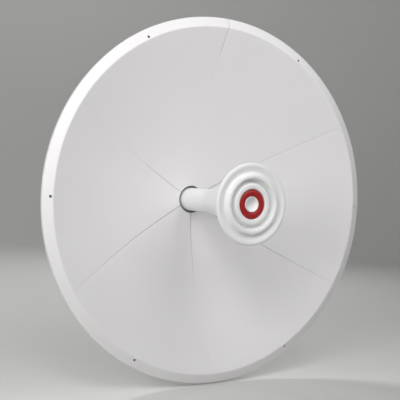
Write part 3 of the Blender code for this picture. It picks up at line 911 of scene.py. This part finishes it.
    def build_centre(self) -> None:
        """Make the domed ring in the plate's pocket and the dished cap inside it."""
        crown = self.plate_front - self.ring_depth
        low = self.plate_front - self.pocket_depth + GAP
        inner, outer = self.ring_inner, self.ring_outer
        middle, half = (inner + outer) / 2, (outer - inner) / 2
        dome = [(middle + half * share, crown - self.ring_dome * share * share)
                for share in (i / 12 - 1 for i in range(1, 24))]
        side = crown - self.ring_edge
        ring = [(inner, side), *dome, (outer, side), (outer, low), (inner, low)]
        finish_piece(lathe("red_ring", ring, closed=True), RED_ABS, "red_plastic", "feed_ring",
                     sharp=50)
        cap, mouth = inner - GAP, crown - self.cap_depth
        depth = self.dimple_depth - self.cap_depth
        hollow = [(self.dimple_r * math.sin(a), mouth - depth * math.cos(a))
                  for a in (math.pi / 2 * i / self.dimple_steps for i in range(self.dimple_steps))]
        lip, rise = self.rim_inner
        profile = [*hollow, (self.dimple_r, mouth), (self.dimple_r + lip, mouth + rise),
                   *((cap - inset, mouth + up) for inset, up in self.rim_outer),
                   (cap, low), (0, low)]
        finish_piece(lathe("dished_cap", profile), MOULDED_ASA, "white_plastic", "feed_cap",
                     sharp=60)

    def build_housing(self) -> None:
        """Make the housing behind the tube, with the pad that its two sockets stand on."""
        flange, end = -HUB_REACH - GAP, self.housing_end
        under = flange - self.housing_flange
        reach, step = self.housing_step
        profile = [(0, flange), (self.housing_flange_r, flange), (self.housing_flange_r, under),
                   (self.housing_r, under), (self.housing_r, end), (self.housing_r - reach, end),
                   (self.housing_r - reach - step, end + step), (0, end + step)]
        housing = lathe("feed_transition_housing", rounded(profile, self.housing_rounds, 4),
                        steps=112)
        half = self.pad_half
        near, far = VERTEX_Y - end - self.pad_inset[0], VERTEX_Y - under + self.pad_inset[1]
        pad = rounded([(half, near), (half, far), (-half, far), (-half, near)],
                      [self.pad_round] * 4, 4)
        combine(housing, [slab("pad", pad, self.pad_low, 0)], Join.ADD)
        finish_piece(housing, CAST_ALUMINIUM, "casting", "feed_housing", edge=self.edge)

    def build_sockets(self) -> None:
        """Make the two coaxial sockets with their insulators and centre contacts."""
        body = rounded(metres(self.socket_body), self.socket_rounds, 3)
        for name, y in zip(("front", "rear"), self.socket_y):
            place = Matrix.Translation((0, y, self.pad_low - GAP))
            finish_piece(lathe(f"coaxial_socket_{name}", body, place, 64), NICKEL_PLATE, "nickel",
                         f"connector_{name}")
            finish_piece(lathe(f"socket_insulator_{name}", metres(self.insulator), place, 48),
                         PTFE, "white_plastic")
            finish_piece(lathe(f"socket_contact_{name}", metres(self.contact), place, 32),
                         GILT, "nickel")

    def build(self) -> None:
        """Make every piece of the feed."""
        self.build_collar()
        self.build_tube()
        self.build_plate()
        self.build_centre()
        self.build_housing()
        self.build_sockets()


@dataclass
class Mount:
    """Back plate, slotted tilt cheeks, pole bracket and the two jaws of the pole clamp."""

    plate_x: float = 0.110
    plate_z: float = 0.102
    plate_cut: float = 0.012
    plate_round: float = 0.004
    plate: float = 0.005
    plate_hole: float = 0.0445
    plate_edge: float = 0.0006
    cheek_in: float = 0.070
    cheek: float = 0.004
    foot: float = 0.036
    cheek_half: float = 0.085
    cheek_front: float = -0.14   # the cheek's blank reaches in front of its foot
    cheek_end: float = -0.016
    cheek_round: float = 0.022
    pivot_y: float = -0.045
    pivot_z: float = -0.060
    lock_z: float = 0.060
    slot_back: float = math.radians(8)
    slot_front: float = math.radians(22)
    slot_play: float = 0.0006
    bolt_r: float = 0.005
    bend: float = 0.006
    web: float = 0.005
    bracket: float = 0.004
    bracket_bend: float = 0.003  # inside the bend
    bracket_half: float = 0.100
    bracket_front: float = -0.078
    bracket_flat: float = 0.012  # the flanges slant from here to their front
    bracket_lean: float = 0.028  # how far in they have come at the end of the slant
    lean_end: float = -0.079
    spare: float = 0.01          # how far a cutter stands clear of what it leaves alone
    sheet_edge: float = 0.0005
    rod_x: float = 0.050
    rod_z: float = 0.075
    rod_r: float = 0.004
    rod_play: float = 0.0005
    pole_r: float = 0.030
    jaw_front: float = 0.052
    # Half of the jaw's outline from its front: (X, Y)
    jaw_side: tuple[Point, ...] = ((0.066, 0.052), (0.066, 0.064), (0.038, 0.064), (0.022, 0.088))
    jaw_rounds: tuple[float, ...] = (0.002, 0.002, 0.004, 0.004)
    jaw_half: float = 0.017
    jaw_edge: float = 0.0004
    teeth: int = 9
    bite: float = 0.0012
    cutter: float = 0.12         # half the length of what cuts through a piece

    @property
    def plate_rear(self) -> float:
        """Return the Y of the back plate's rear face."""
        return VERTEX_Y + HUB_REACH + GAP + self.plate

    @property
    def jaw_lug(self) -> float:
        """Return the Y of the jaws' face that the nuts of the clamp rods lie on."""
        return self.jaw_side[1][1]

    def build_plate(self) -> None:
        """Make the chamfered back plate with its round hole."""
        x, z, c = self.plate_x, self.plate_z, self.plate_cut
        corners = [(x, c - z), (x, z - c), (x - c, z), (c - x, z), (-x, z - c), (-x, c - z),
                   (c - x, -z), (x - c, -z)]
        rear = self.plate_rear - VERTEX_Y
        plate = slab("galvanised_back_plate", rounded(corners, [self.plate_round] * 8, 4), -rear,
                     self.plate - rear, TO_DISH)
        combine(plate, [peg("hole", self.plate_hole, -self.cutter, 0, TO_DISH)])
        finish_piece(plate, GALVANISED, "galvanised", "back_plate", edge=self.plate_edge)

    def cross_hole(self, z: float) -> bpy.types.Object:
        """Make a cutter for a cross bolt at a height."""
        place = Matrix.Translation((0, self.pivot_y, z)) @ ACROSS
        return peg("cross_hole", self.bolt_r + GAP, -self.cutter, self.cutter, place)

    def rod_places(self) -> Outline:
        """List X and Z of the four clamp rods."""
        return [(x, z) for z in (self.rod_z, -self.rod_z) for x in (-self.rod_x, self.rod_x)]

    def rod_hole(self, x: float, z: float) -> bpy.types.Object:
        """Make a cutter for a clamp rod."""
        place = Matrix.Translation((x, 0, z)) @ UPRIGHT
        return peg("rod_hole", self.rod_r + self.rod_play, -self.cutter, self.cutter, place)

    def arc_slot(self) -> Outline:
        """Draw the tilt slot about the pivot, with round ends.

        Returns:
            The outline in (Y, Z) about the pivot.
        """
        reach = self.lock_z - self.pivot_z
        half = self.bolt_r + self.slot_play
        start, end = math.pi / 2 - self.slot_back, math.pi / 2 + self.slot_front
        far = (reach * math.cos(end), reach * math.sin(end))
        near = (reach * math.cos(start), reach * math.sin(start))
        return (arc((0, 0), reach + half, start, end, 24)
                + arc(far, half, end, end + math.pi, 16)[1:-1]
                + arc((0, 0), reach - half, end, start, 24)
                + arc(near, half, start + math.pi, start + TURN, 16)[1:-1])

    def build_cheeks(self) -> None:
        """Make the two angle brackets that the dish tilts between."""
        low = self.plate_rear + GAP
        inner, outer = self.cheek_in, self.cheek_in + self.cheek
        edge = inner + self.foot
        angle = [(inner, self.cheek_end), (inner, low), (edge, low), (edge, low + self.cheek),
                 (outer, low + self.cheek), (outer, self.cheek_end)]
        plan = rounded(angle, [0, self.bend, 0, 0, self.bend - self.cheek, 0], 8)
        half, start, end = self.cheek_half, self.cheek_front, self.cheek_end
        side = rounded([(start, -half), (end, -half), (end, half), (start, half)],
                       [0, self.cheek_round, self.cheek_round, 0], 14)
        pivot = Matrix.Translation((0, self.pivot_y, self.pivot_z)) @ ACROSS
        reach = self.cutter
        for name, hand in (("left", -1), ("right", 1)):
            cheek = slab(f"slotted_cheek_{name}", [(hand * x, y) for x, y in plan], -half, half)
            combine(cheek, [slab("trim", side, -reach, reach, ACROSS)], Join.TRIM)
            combine(cheek, [slab("slot", self.arc_slot(), -reach, reach, pivot),
                            self.cross_hole(self.pivot_z)])
            finish_piece(cheek, GALVANISED, "galvanised", f"tilt_cheek_{name}",
                         edge=self.sheet_edge)

    def build_bracket(self) -> None:
        """Make the bent channel whose web takes the pole and the clamp rods."""
        out = self.cheek_in - GAP
        inn = out - self.bracket
        front, r, inside = self.bracket_front, self.bend, self.bracket_bend
        channel = [(-out, 0), (out, 0), (out, front), (inn, front), (inn, -self.web),
                   (-inn, -self.web), (-inn, front), (-out, front)]
        outline = rounded(channel, [r, r, 0, 0, inside, inside, 0, 0], 8)
        bracket = slab("pole_channel", outline, -self.bracket_half, self.bracket_half)
        half, lean, flat = self.bracket_half, self.bracket_lean, -self.bracket_flat
        tip, back, over = self.lean_end, self.spare, self.bracket_half + self.spare
        side = [(back, -over), (back, over), (flat, over), (flat, half), (tip, half - lean),
                (tip, lean - half), (flat, -half), (flat, -over)]
        combine(bracket, [slab("trim", side, -self.cutter, self.cutter, ACROSS)], Join.TRIM)
        combine(bracket, [self.cross_hole(self.pivot_z), self.cross_hole(self.lock_z),
                          *(self.rod_hole(x, z) for x, z in self.rod_places())])
        finish_piece(bracket, GALVANISED, "galvanised", "pole_bracket", edge=self.sheet_edge)

    def build_jaws(self) -> None:
        """Make the toothed V-jaws that close round the pole from behind."""
        apex = self.pole_r * (1 + math.sqrt(2))
        reach = apex - self.jaw_front
        flank = []
        for i in range(self.teeth):
            near, far = reach * i / self.teeth, reach * (i + 0.5) / self.teeth
            flank += [(near, apex - near), (far + self.bite / 2, apex - far + self.bite / 2)]
        right = flank[1:] + [(reach, self.jaw_front)]
        left = [(-x, y) for x, y in reversed(right)]
        body = [*self.jaw_side, *((-x, y) for x, y in reversed(self.jaw_side))]
        outline = rounded(body, [*self.jaw_rounds, *reversed(self.jaw_rounds)], 5)
        outline += [*left, (0, apex), *right]
        for name, z in (("upper", self.rod_z), ("lower", -self.rod_z)):
            jaw = slab(f"toothed_jaw_{name}", outline, z - self.jaw_half, z + self.jaw_half)
            combine(jaw, [self.rod_hole(x, z) for x in (-self.rod_x, self.rod_x)])
            finish_piece(jaw, GALVANISED, "galvanised", f"{name}_jaw", edge=self.jaw_edge)

    def build(self) -> None:
        """Make every piece of the mount."""
        self.build_plate()
        self.build_cheeks()
        self.build_bracket()
        self.build_jaws()


def new_geometry_tree(name: str, inputs: list[tuple[str, str]]) -> bpy.types.NodeTree:
    """Start a Geometry Nodes tree with named inputs.

    Args:
        name: Name of the tree.
        inputs: Name and socket type of each input after the geometry.

    Returns:
        The tree, which still needs its nodes.
    """
    tree = bpy.data.node_groups.new(name, "GeometryNodeTree")
    tree.interface.new_socket("Geometry", in_out="INPUT", socket_type="NodeSocketGeometry")
    for label, kind in inputs:
        tree.interface.new_socket(label, in_out="INPUT", socket_type=kind)
    tree.interface.new_socket("Geometry", in_out="OUTPUT", socket_type="NodeSocketGeometry")
    return tree


def place_copies(tree: bpy.types.NodeTree, source: bpy.types.Node,
                 shape: bpy.types.NodeSocket) -> None:
    """End a tree: stand a copy of the shape on each point along its facing, and make it real.

    Args:
        tree: The tree to end.
        source: Its group input.
        shape: The shape about local Z.
    """
    facing = add_node(tree, "GeometryNodeInputNamedAttribute", {"Name": "facing"},
                      data_type="FLOAT_VECTOR")
    turned = add_node(tree, "FunctionNodeAlignRotationToVector",
                      {"Vector": facing.outputs["Attribute"]}, axis="Z")
    copies = add_node(tree, "GeometryNodeInstanceOnPoints", {
        "Points": source.outputs["Geometry"], "Instance": shape,
        "Rotation": turned.outputs["Rotation"]})
    real = add_node(tree, "GeometryNodeRealizeInstances", {"Geometry": copies.outputs["Instances"]})
    dressed = add_node(tree, "GeometryNodeSetMaterial", {
        "Geometry": real.outputs["Geometry"], "Material": source.outputs["Material"]})
    add_node(tree, "NodeGroupOutput", {"Geometry": dressed.outputs["Geometry"]})


def bolt_tree() -> bpy.types.NodeTree:
    """Build the tree of a hexagon bolt with washers and, where it has one, a nut.

    Local Z is zero on the face that the head's washer lies on and points out through the head.

    Returns:
        The Geometry Nodes tree.
    """
    sizes = ("Diameter", "Across Flats", "Head", "Washer Radius", "Washer", "Grip", "Nut", "Tail")
    kinds = [(name, "NodeSocketFloat") for name in sizes]
    tree = new_geometry_tree("hexagon_bolt", [
        *kinds, ("Nut Fitted", "NodeSocketBool"), ("Material", "NodeSocketMaterial")])
    source = add_node(tree, "NodeGroupInput")
    size = {name: source.outputs[name] for name in sizes}
    crown = 0.475    # radius of a head's flat top, as a share of its size across flats
    # Each measure is a size, times a factor, plus another size. The head stands above zero, and
    # the grip, the far washer, the nut and the tail hang below it.
    for name, base, factor, plus in (
            ("corner", "Across Flats", 1 / math.sqrt(3), 0.0),
            ("crown", "Across Flats", crown, 0.0),
            ("Head cone", "Head", math.sqrt(3), "crown"),
            ("Head drop", "Head", -0.5, 0.0),
            ("Nut cone", "Nut", math.sqrt(3), "crown"),
            ("Nut drop", "Nut", -0.5, 0.0),
            ("washer middle", "Washer", 0.5, 0.0),
            ("head middle", "Head", 0.5, "Washer"),
            ("grip end", "Grip", -1.0, 0.0),
            ("far washer middle", "Washer", -0.5, "grip end"),
            ("nut face", "Washer", -1.0, "grip end"),
            ("nut middle", "Nut", -0.5, "nut face"),
            ("tip", "Tail", -1.0, "nut face"),
            ("shank length", "tip", -1.0, "Washer"),
            ("shank middle", "shank length", -0.5, "Washer"),
            ("radius", "Diameter", 0.5, 0.0)):
        size[name] = add_node(tree, "ShaderNodeMath", {
            0: size[base], 1: factor, 2: size.get(plus, plus)},
            operation="MULTIPLY_ADD").outputs[0]
    # A hexagon whose corners are turned off by a cone
    hexagons = []
    for kind in ("Head", "Nut"):
        prism = add_node(tree, "GeometryNodeMeshCylinder", {
            "Vertices": 6, "Radius": size["corner"], "Depth": size[kind]})
        cone = add_node(tree, "GeometryNodeMeshCone", {
            "Vertices": 48, "Radius Top": size["crown"], "Radius Bottom": size[f"{kind} cone"],
            "Depth": size[kind]})
        drop = add_node(tree, "ShaderNodeCombineXYZ", {"Z": size[f"{kind} drop"]})
        seated = add_node(tree, "GeometryNodeTransform", {
            "Geometry": cone.outputs["Mesh"], "Translation": drop.outputs[0]})
        hexagons.append(add_node(tree, "GeometryNodeMeshBoolean", {
            "Mesh 2": [prism.outputs["Mesh"], seated.outputs["Geometry"]]},
            operation="INTERSECT", solver="EXACT"))
    washer = add_node(tree, "GeometryNodeMeshCylinder", {
        "Vertices": 32, "Radius": size["Washer Radius"], "Depth": size["Washer"]})
    shank = add_node(tree, "GeometryNodeMeshCylinder", {
        "Vertices": 24, "Radius": size["radius"], "Depth": size["shank length"]})
    upward, downward = (0.0, 0.0, 0.0), (math.pi, 0.0, 0.0)
    stack = []
    for shape, middle, turn in (
            (hexagons[0], "head middle", upward), (washer, "washer middle", upward),
            (shank, "shank middle", upward), (hexagons[1], "nut middle", downward),
            (washer, "far washer middle", downward)):
        offset = add_node(tree, "ShaderNodeCombineXYZ", {"Z": size[middle]})
        placed = add_node(tree, "GeometryNodeTransform", {
            "Geometry": shape.outputs["Mesh"], "Translation": offset.outputs[0],
            "Rotation": turn})
        stack.append(placed.outputs["Geometry"])
    near, away = (add_node(tree, "GeometryNodeJoinGeometry", {"Geometry": group})
                  for group in (stack[:3], stack[3:]))
    fitted = add_node(tree, "GeometryNodeSwitch", {
        "Switch": source.outputs["Nut Fitted"], "True": away.outputs["Geometry"]},
        input_type="GEOMETRY")
    whole = add_node(tree, "GeometryNodeJoinGeometry", {
        "Geometry": [near.outputs["Geometry"], fitted.outputs["Output"]]})
    place_copies(tree, source, whole.outputs["Geometry"])
    return tree


def thread_tree() -> bpy.types.NodeTree:
    """Build the tree of a screw thread: a V ridge that winds round a shank from local Z zero up.

    Returns:
        The Geometry Nodes tree.
    """
    tree = new_geometry_tree("screw_thread", [
        ("Radius", "NodeSocketFloat"), ("Pitch", "NodeSocketFloat"), ("Length", "NodeSocketFloat"),
        ("Steps", "NodeSocketInt"), ("Material", "NodeSocketMaterial")])
    source = add_node(tree, "NodeGroupInput")
    size = source.outputs
    height = 0.45    # of the ridge, as a share of the pitch
    turns = add_node(tree, "ShaderNodeMath", {0: size["Length"], 1: size["Pitch"]},
                     operation="DIVIDE")
    ridge = add_node(tree, "ShaderNodeMath", {0: size["Pitch"], 1: height}, operation="MULTIPLY")
    core = add_node(tree, "ShaderNodeMath", {0: size["Radius"], 1: ridge.outputs[0]},
                    operation="SUBTRACT")
    helix = add_node(tree, "GeometryNodeCurveSpiral", {
        "Resolution": size["Steps"], "Rotations": turns.outputs[0],
        "Start Radius": core.outputs[0], "End Radius": core.outputs[0], "Height": size["Length"]})
    section = add_node(tree, "GeometryNodeCurvePrimitiveCircle", {
        "Resolution": 4, "Radius": ridge.outputs[0]})
    wound = add_node(tree, "GeometryNodeCurveToMesh", {
        "Curve": helix.outputs["Curve"], "Profile Curve": section.outputs["Curve"],
        "Fill Caps": True})
    place_copies(tree, source, wound.outputs["Mesh"])
    return tree


@dataclass
class CopySet:
    """A set of like pieces that a Geometry Nodes tree stands on points."""

    name: str
    tree: bpy.types.NodeTree
    sizes: dict[str, float]
    places: Places
    replaces: tuple[str, ...] = ()
    finish: Finish = ZINC_PLATE
    slot: str = "zinc"

    def build(self) -> None:
        """Make the set as one plain mesh."""
        mesh = bpy.data.meshes.new(self.name)
        mesh.from_pydata([place for place, _ in self.places], [], [])
        facing = mesh.attributes.new("facing", "FLOAT_VECTOR", "POINT")
        facing.data.foreach_set("vector", [c for _, way in self.places for c in way])
        piece = bpy.data.objects.new(self.name, mesh)
        bpy.context.scene.collection.objects.link(piece)
        step = piece.modifiers.new("copies", "NODES")
        step.node_group = self.tree
        sockets = {item.name: item.identifier for item in self.tree.interface.items_tree
                   if item.in_out == "INPUT"}
        for label, value in {**self.sizes, "Material": WARDROBE[self.finish]}.items():
            step[sockets[label]] = value
        settle(piece)
        finish_piece(piece, self.finish, self.slot, *self.replaces, sharp=30)


@dataclass(frozen=True)
class Thread:
    """A metric screw size: its diameter and the usual sizes of its head, nut and washer."""

    diameter: float
    across: float
    head: float
    nut: float
    washer_r: float
    washer: float

    def sizes(self, grip: float, nut: bool, tail: float = 0.002) -> dict[str, float]:
        """Give the bolt tree's inputs.

        Args:
            grip: Thickness of what is held.
            nut: Whether a nut and a second washer are fitted.
            tail: How far the screw stands out past the far washer.

        Returns:
            A value for each named input.
        """
        return {"Diameter": self.diameter, "Across Flats": self.across, "Head": self.head,
                "Washer Radius": self.washer_r, "Washer": self.washer, "Grip": grip,
                "Nut": self.nut, "Tail": tail + (self.nut if nut else 0), "Nut Fitted": nut}


# Diameter, size across flats, head, nut, and the washer's radius and thickness
M4 = Thread(0.004, 0.007, 0.0028, 0.0032, 0.0042, 0.0008)
M5 = Thread(0.005, 0.008, 0.0035, 0.004, 0.005, 0.001)
M6 = Thread(0.006, 0.010, 0.004, 0.005, 0.006, 0.0012)
M8 = Thread(0.008, 0.013, 0.0053, 0.0065, 0.0080, 0.0016)
M10 = Thread(0.010, 0.016, 0.0064, 0.008, 0.0100, 0.0020)


@dataclass
class Fasteners:
    """The bolts, nuts and threads that hold the antenna together."""

    reflector: Reflector
    hub: Hub
    feed: Feed
    mount: Mount
    seam_radii: tuple[float, ...] = (0.200, 0.265, 0.330, 0.388)
    seam_depth: float = 0.0105
    lug_radii: tuple[float, ...] = (0.133, 0.153)
    lug_drop: float = 0.0125
    plate_bolt: Point = (0.055, 0.092)
    plate_grip: float = 0.012
    foot_bolt: Point = (0.090, 0.059)
    foot_grip: float = 0.014
    housing_circle: float = 0.0384
    housing_screws: int = 6
    housing_grip: float = 0.009
    cross_tail: float = 0.0025
    rod_tail: float = 0.0265
    thread_reach: float = 0.036  # how far the rods' thread runs on in front of the jaws' face
    thread_length: float = 0.071
    thread_pitch: float = 0.00125
    thread_height: float = 0.0002
    thread_steps: int = 20       # in one turn

    def along_seams(self, radii: tuple[float, ...], depth: float, reach: float,
                    square: bool) -> Places:
        """Stand bolts across the six seams.

        Args:
            radii: Their radii.
            depth: How deep they lie behind the sheet.
            reach: From the seam's middle to the face under the head.
            square: Whether the depth is measured square to the sheet, or else along the axis.

        Returns:
            A place and a facing for each.
        """
        found = []
        for index in range(self.reflector.petals):
            turn = self.reflector.seam(index)
            for radius in radii:
                slope = self.reflector.slope(radius) if square else 0.0
                place = Vector((radius + depth * math.sin(slope), reach,
                                self.reflector.height(radius) - depth * math.cos(slope)))
                found.append((turn @ place, turn.to_3x3() @ Vector((0, 1, 0))))
        return found

    def on_corners(self, corner: Point, y: float) -> Places:
        """Stand four bolts on the corners of a rectangle, with their heads to the rear."""
        return [(Vector((x * corner[0], y, z * corner[1])), REARWARD)
                for x in (-1, 1) for z in (-1, 1)]

    def on_rods(self, y: float, way: Vector) -> Places:
        """Stand a copy on the line of each clamp rod."""
        return [(Vector((x, y, z)), way) for x, z in self.mount.rod_places()]

    def build(self) -> None:
        """Make every set."""
        bolts, threads = bolt_tree(), thread_tree()
        mount = self.mount
        flange = self.reflector.seam_gap / 2 + self.reflector.sheet
        lug = self.hub.lug_width / 2
        cheek = mount.cheek_in + mount.cheek
        housing_y = VERTEX_Y + HUB_REACH + GAP + self.feed.housing_flange
        angles = [TURN * (i + 0.5) / self.housing_screws for i in range(self.housing_screws)]
        housing = [(Vector((self.housing_circle * math.cos(a), housing_y,
                            self.housing_circle * math.sin(a))), REARWARD) for a in angles]
        cross = [(Vector((cheek, mount.pivot_y, z)), Vector((1, 0, 0)))
                 for z in (mount.pivot_z, mount.lock_z)]
        winding = {"Radius": mount.rod_r + self.thread_height, "Pitch": self.thread_pitch,
                   "Length": self.thread_length, "Steps": self.thread_steps}
        for made in (
                CopySet("seam_bolts", bolts, M5.sizes(2 * flange, True),
                        self.along_seams(self.seam_radii, self.seam_depth, flange, True)),
                CopySet("lug_bolts", bolts, M5.sizes(2 * lug, True),
                        self.along_seams(self.lug_radii, self.lug_drop, lug, False)),
                CopySet("plate_bolts", bolts, M6.sizes(self.plate_grip, False),
                        self.on_corners(self.plate_bolt, mount.plate_rear)),
                CopySet("foot_bolts", bolts, M8.sizes(self.foot_grip, False),
                        self.on_corners(self.foot_bolt, mount.plate_rear + GAP + mount.cheek)),
                CopySet("housing_screws", bolts, M4.sizes(self.housing_grip, False), housing),
                CopySet("cross_bolts", bolts, M10.sizes(2 * cheek, True, self.cross_tail), cross,
                        ("pivot_bolt", "lock_bolt")),
                CopySet("clamp_rods", bolts,
                        M8.sizes(mount.web + mount.jaw_lug, True, self.rod_tail),
                        self.on_rods(-mount.web, -REARWARD),
                        tuple(f"clamp_rod_{i}" for i in range(1, 5))),
                CopySet("rod_threads", threads, winding,
                        self.on_rods(mount.jaw_lug - self.thread_reach, REARWARD))):
            made.build()


class Lamp(Enum):
    """The kinds of studio light, each with Blender's name for its type."""

    SOFTBOX = "AREA"
    LANTERN = "POINT"


@dataclass(frozen=True)
class StudioLight:
    """A light that the camera doesn't see: a round softbox with an aim, or a lantern."""

    name: str
    place: Triple
    power: float
    size: float = 0.5
    aim: Triple = (0.0, VERTEX_Y - 0.10, 0.0)
    kind: Lamp = Lamp.SOFTBOX

    def build(self) -> None:
        """Hang the light and turn it to what it lights."""
        lamp = bpy.data.lights.new(self.name, self.kind.value)
        lamp.energy = self.power
        if self.kind is Lamp.SOFTBOX:
            lamp.shape = "DISK"
            lamp.size = self.size
        else:
            lamp.shadow_soft_size = self.size
        light = bpy.data.objects.new(self.name, lamp)
        light.location = self.place
        light.visible_camera = False
        way = Vector(self.aim) - Vector(self.place)
        light.rotation_euler = way.to_track_quat("-Z", "Y").to_euler()
        bpy.context.scene.collection.objects.link(light)


@dataclass
class Studio:
    """A pale floor that sweeps up into a wall all round, soft light and the camera."""

    floor_z: float = PACKED_BOX[0].z - 0.004     # the rim stands 4 mm above it
    cove_r: float = 5.0
    cove_round: float = 1.6
    cove_shell: float = 0.1
    wall: float = 4.0
    room_colour: str = "D0D2D6"
    room_light: float = 0.05
    # The camera, fitted to the edge, the crease, the holes and the seams
    azimuth: float = math.radians(-29.844)
    elevation: float = math.radians(1.241)
    roll: float = math.radians(2.617)
    target: Triple = (-0.0615, VERTEX_Y - 0.155, 0.0027)
    distance: float = 1.682
    lens: float = 62.58
    sensor: float = 36.0

    def build_cove(self) -> None:
        """Make the floor and its wall."""
        z, r, c = self.floor_z, self.cove_r, self.cove_round
        top, under, outer = z + self.wall, z - self.cove_shell, r + self.cove_shell
        bend = arc((r - c, z + c), c, -math.pi / 2, 0, 24)
        profile = [(0, z), *bend, (r, top), (outer, top), (outer, under), (0, under)]
        cove = lathe("cove", profile, Matrix.Translation((0, VERTEX_Y, 0)))
        shade(cove, COVE_PAINT)

    def build_lights(self) -> None:
        """Hang the lights and set the light of the room."""
        # Eight small softboxes arch over the bowl from left to right, each as strong as the shading
        # in the photograph asks. Two large ones light the mount, and a lantern lights the floor.
        for light in (
                StudioLight("left_low", (-1.046, -0.885, 0.280), 3.6),
                StudioLight("left_high", (-0.765, -0.885, 0.765), 2.0),
                StudioLight("key", (-0.625, -1.144, 0.625), 2.7),
                StudioLight("left_front", (-0.442, -1.343, 0.442), 0.9),
                StudioLight("top_front", (0.162, -1.343, 0.604), 1.6),
                StudioLight("top_middle", (0.229, -1.144, 0.854), 1.0),
                StudioLight("top", (0.280, -0.885, 1.046), 1.7),
                StudioLight("right_high", (0.765, -0.885, 0.765), 1.0),
                StudioLight("rear", (1.280, 1.732, 1.074), 8.0, 1.2),
                StudioLight("rear_fill", (-1.700, 1.400, 0.500), 6.0, 1.2, (0.0, -0.1, 0.0)),
                StudioLight("room", (0.0, 1.6, 2.6), 150.0, kind=Lamp.LANTERN)):
            light.build()
        world = bpy.data.worlds.new("room")
        world.use_nodes = True
        background = world.node_tree.nodes["Background"]
        background.inputs["Color"].default_value = linear(self.room_colour)
        background.inputs["Strength"].default_value = self.room_light
        bpy.context.scene.world = world
        bpy.context.scene.view_settings.view_transform = "Standard"

    def build_camera(self) -> None:
        """Set the camera where the photograph was taken from."""
        a, e = self.azimuth, self.elevation
        back = Vector((math.sin(a) * math.cos(e), -math.cos(a) * math.cos(e), math.sin(e)))
        right = (-back).cross(Vector((0, 0, 1))).normalized()
        up = right.cross(-back)
        turned_right = right * math.cos(self.roll) + up * math.sin(self.roll)
        turned_up = up * math.cos(self.roll) - right * math.sin(self.roll)
        lens = bpy.data.cameras.new("camera")
        lens.lens = self.lens
        lens.sensor_width = self.sensor
        camera = bpy.data.objects.new("camera", lens)
        turn = Matrix((turned_right, turned_up, back)).transposed().to_4x4()
        camera.matrix_world = Matrix.Translation(Vector(self.target) + back * self.distance) @ turn
        bpy.context.scene.collection.objects.link(camera)
        bpy.context.scene.camera = camera

    def build(self) -> None:
        """Set up the studio."""
        self.build_cove()
        self.build_lights()
        self.build_camera()


def main() -> None:
    """Build the camera and studio, then the antenna, part by part."""
    logging.basicConfig(level=logging.INFO, format="%(name)s: %(message)s")
    Studio().build()
    reflector, feed, mount = Reflector(), Feed(), Mount()
    hub = Hub(reflector)
    for part in (reflector, hub, feed, mount, Fasteners(reflector, hub, feed, mount)):
        part.build()


if __name__ == "__main__":
    main()
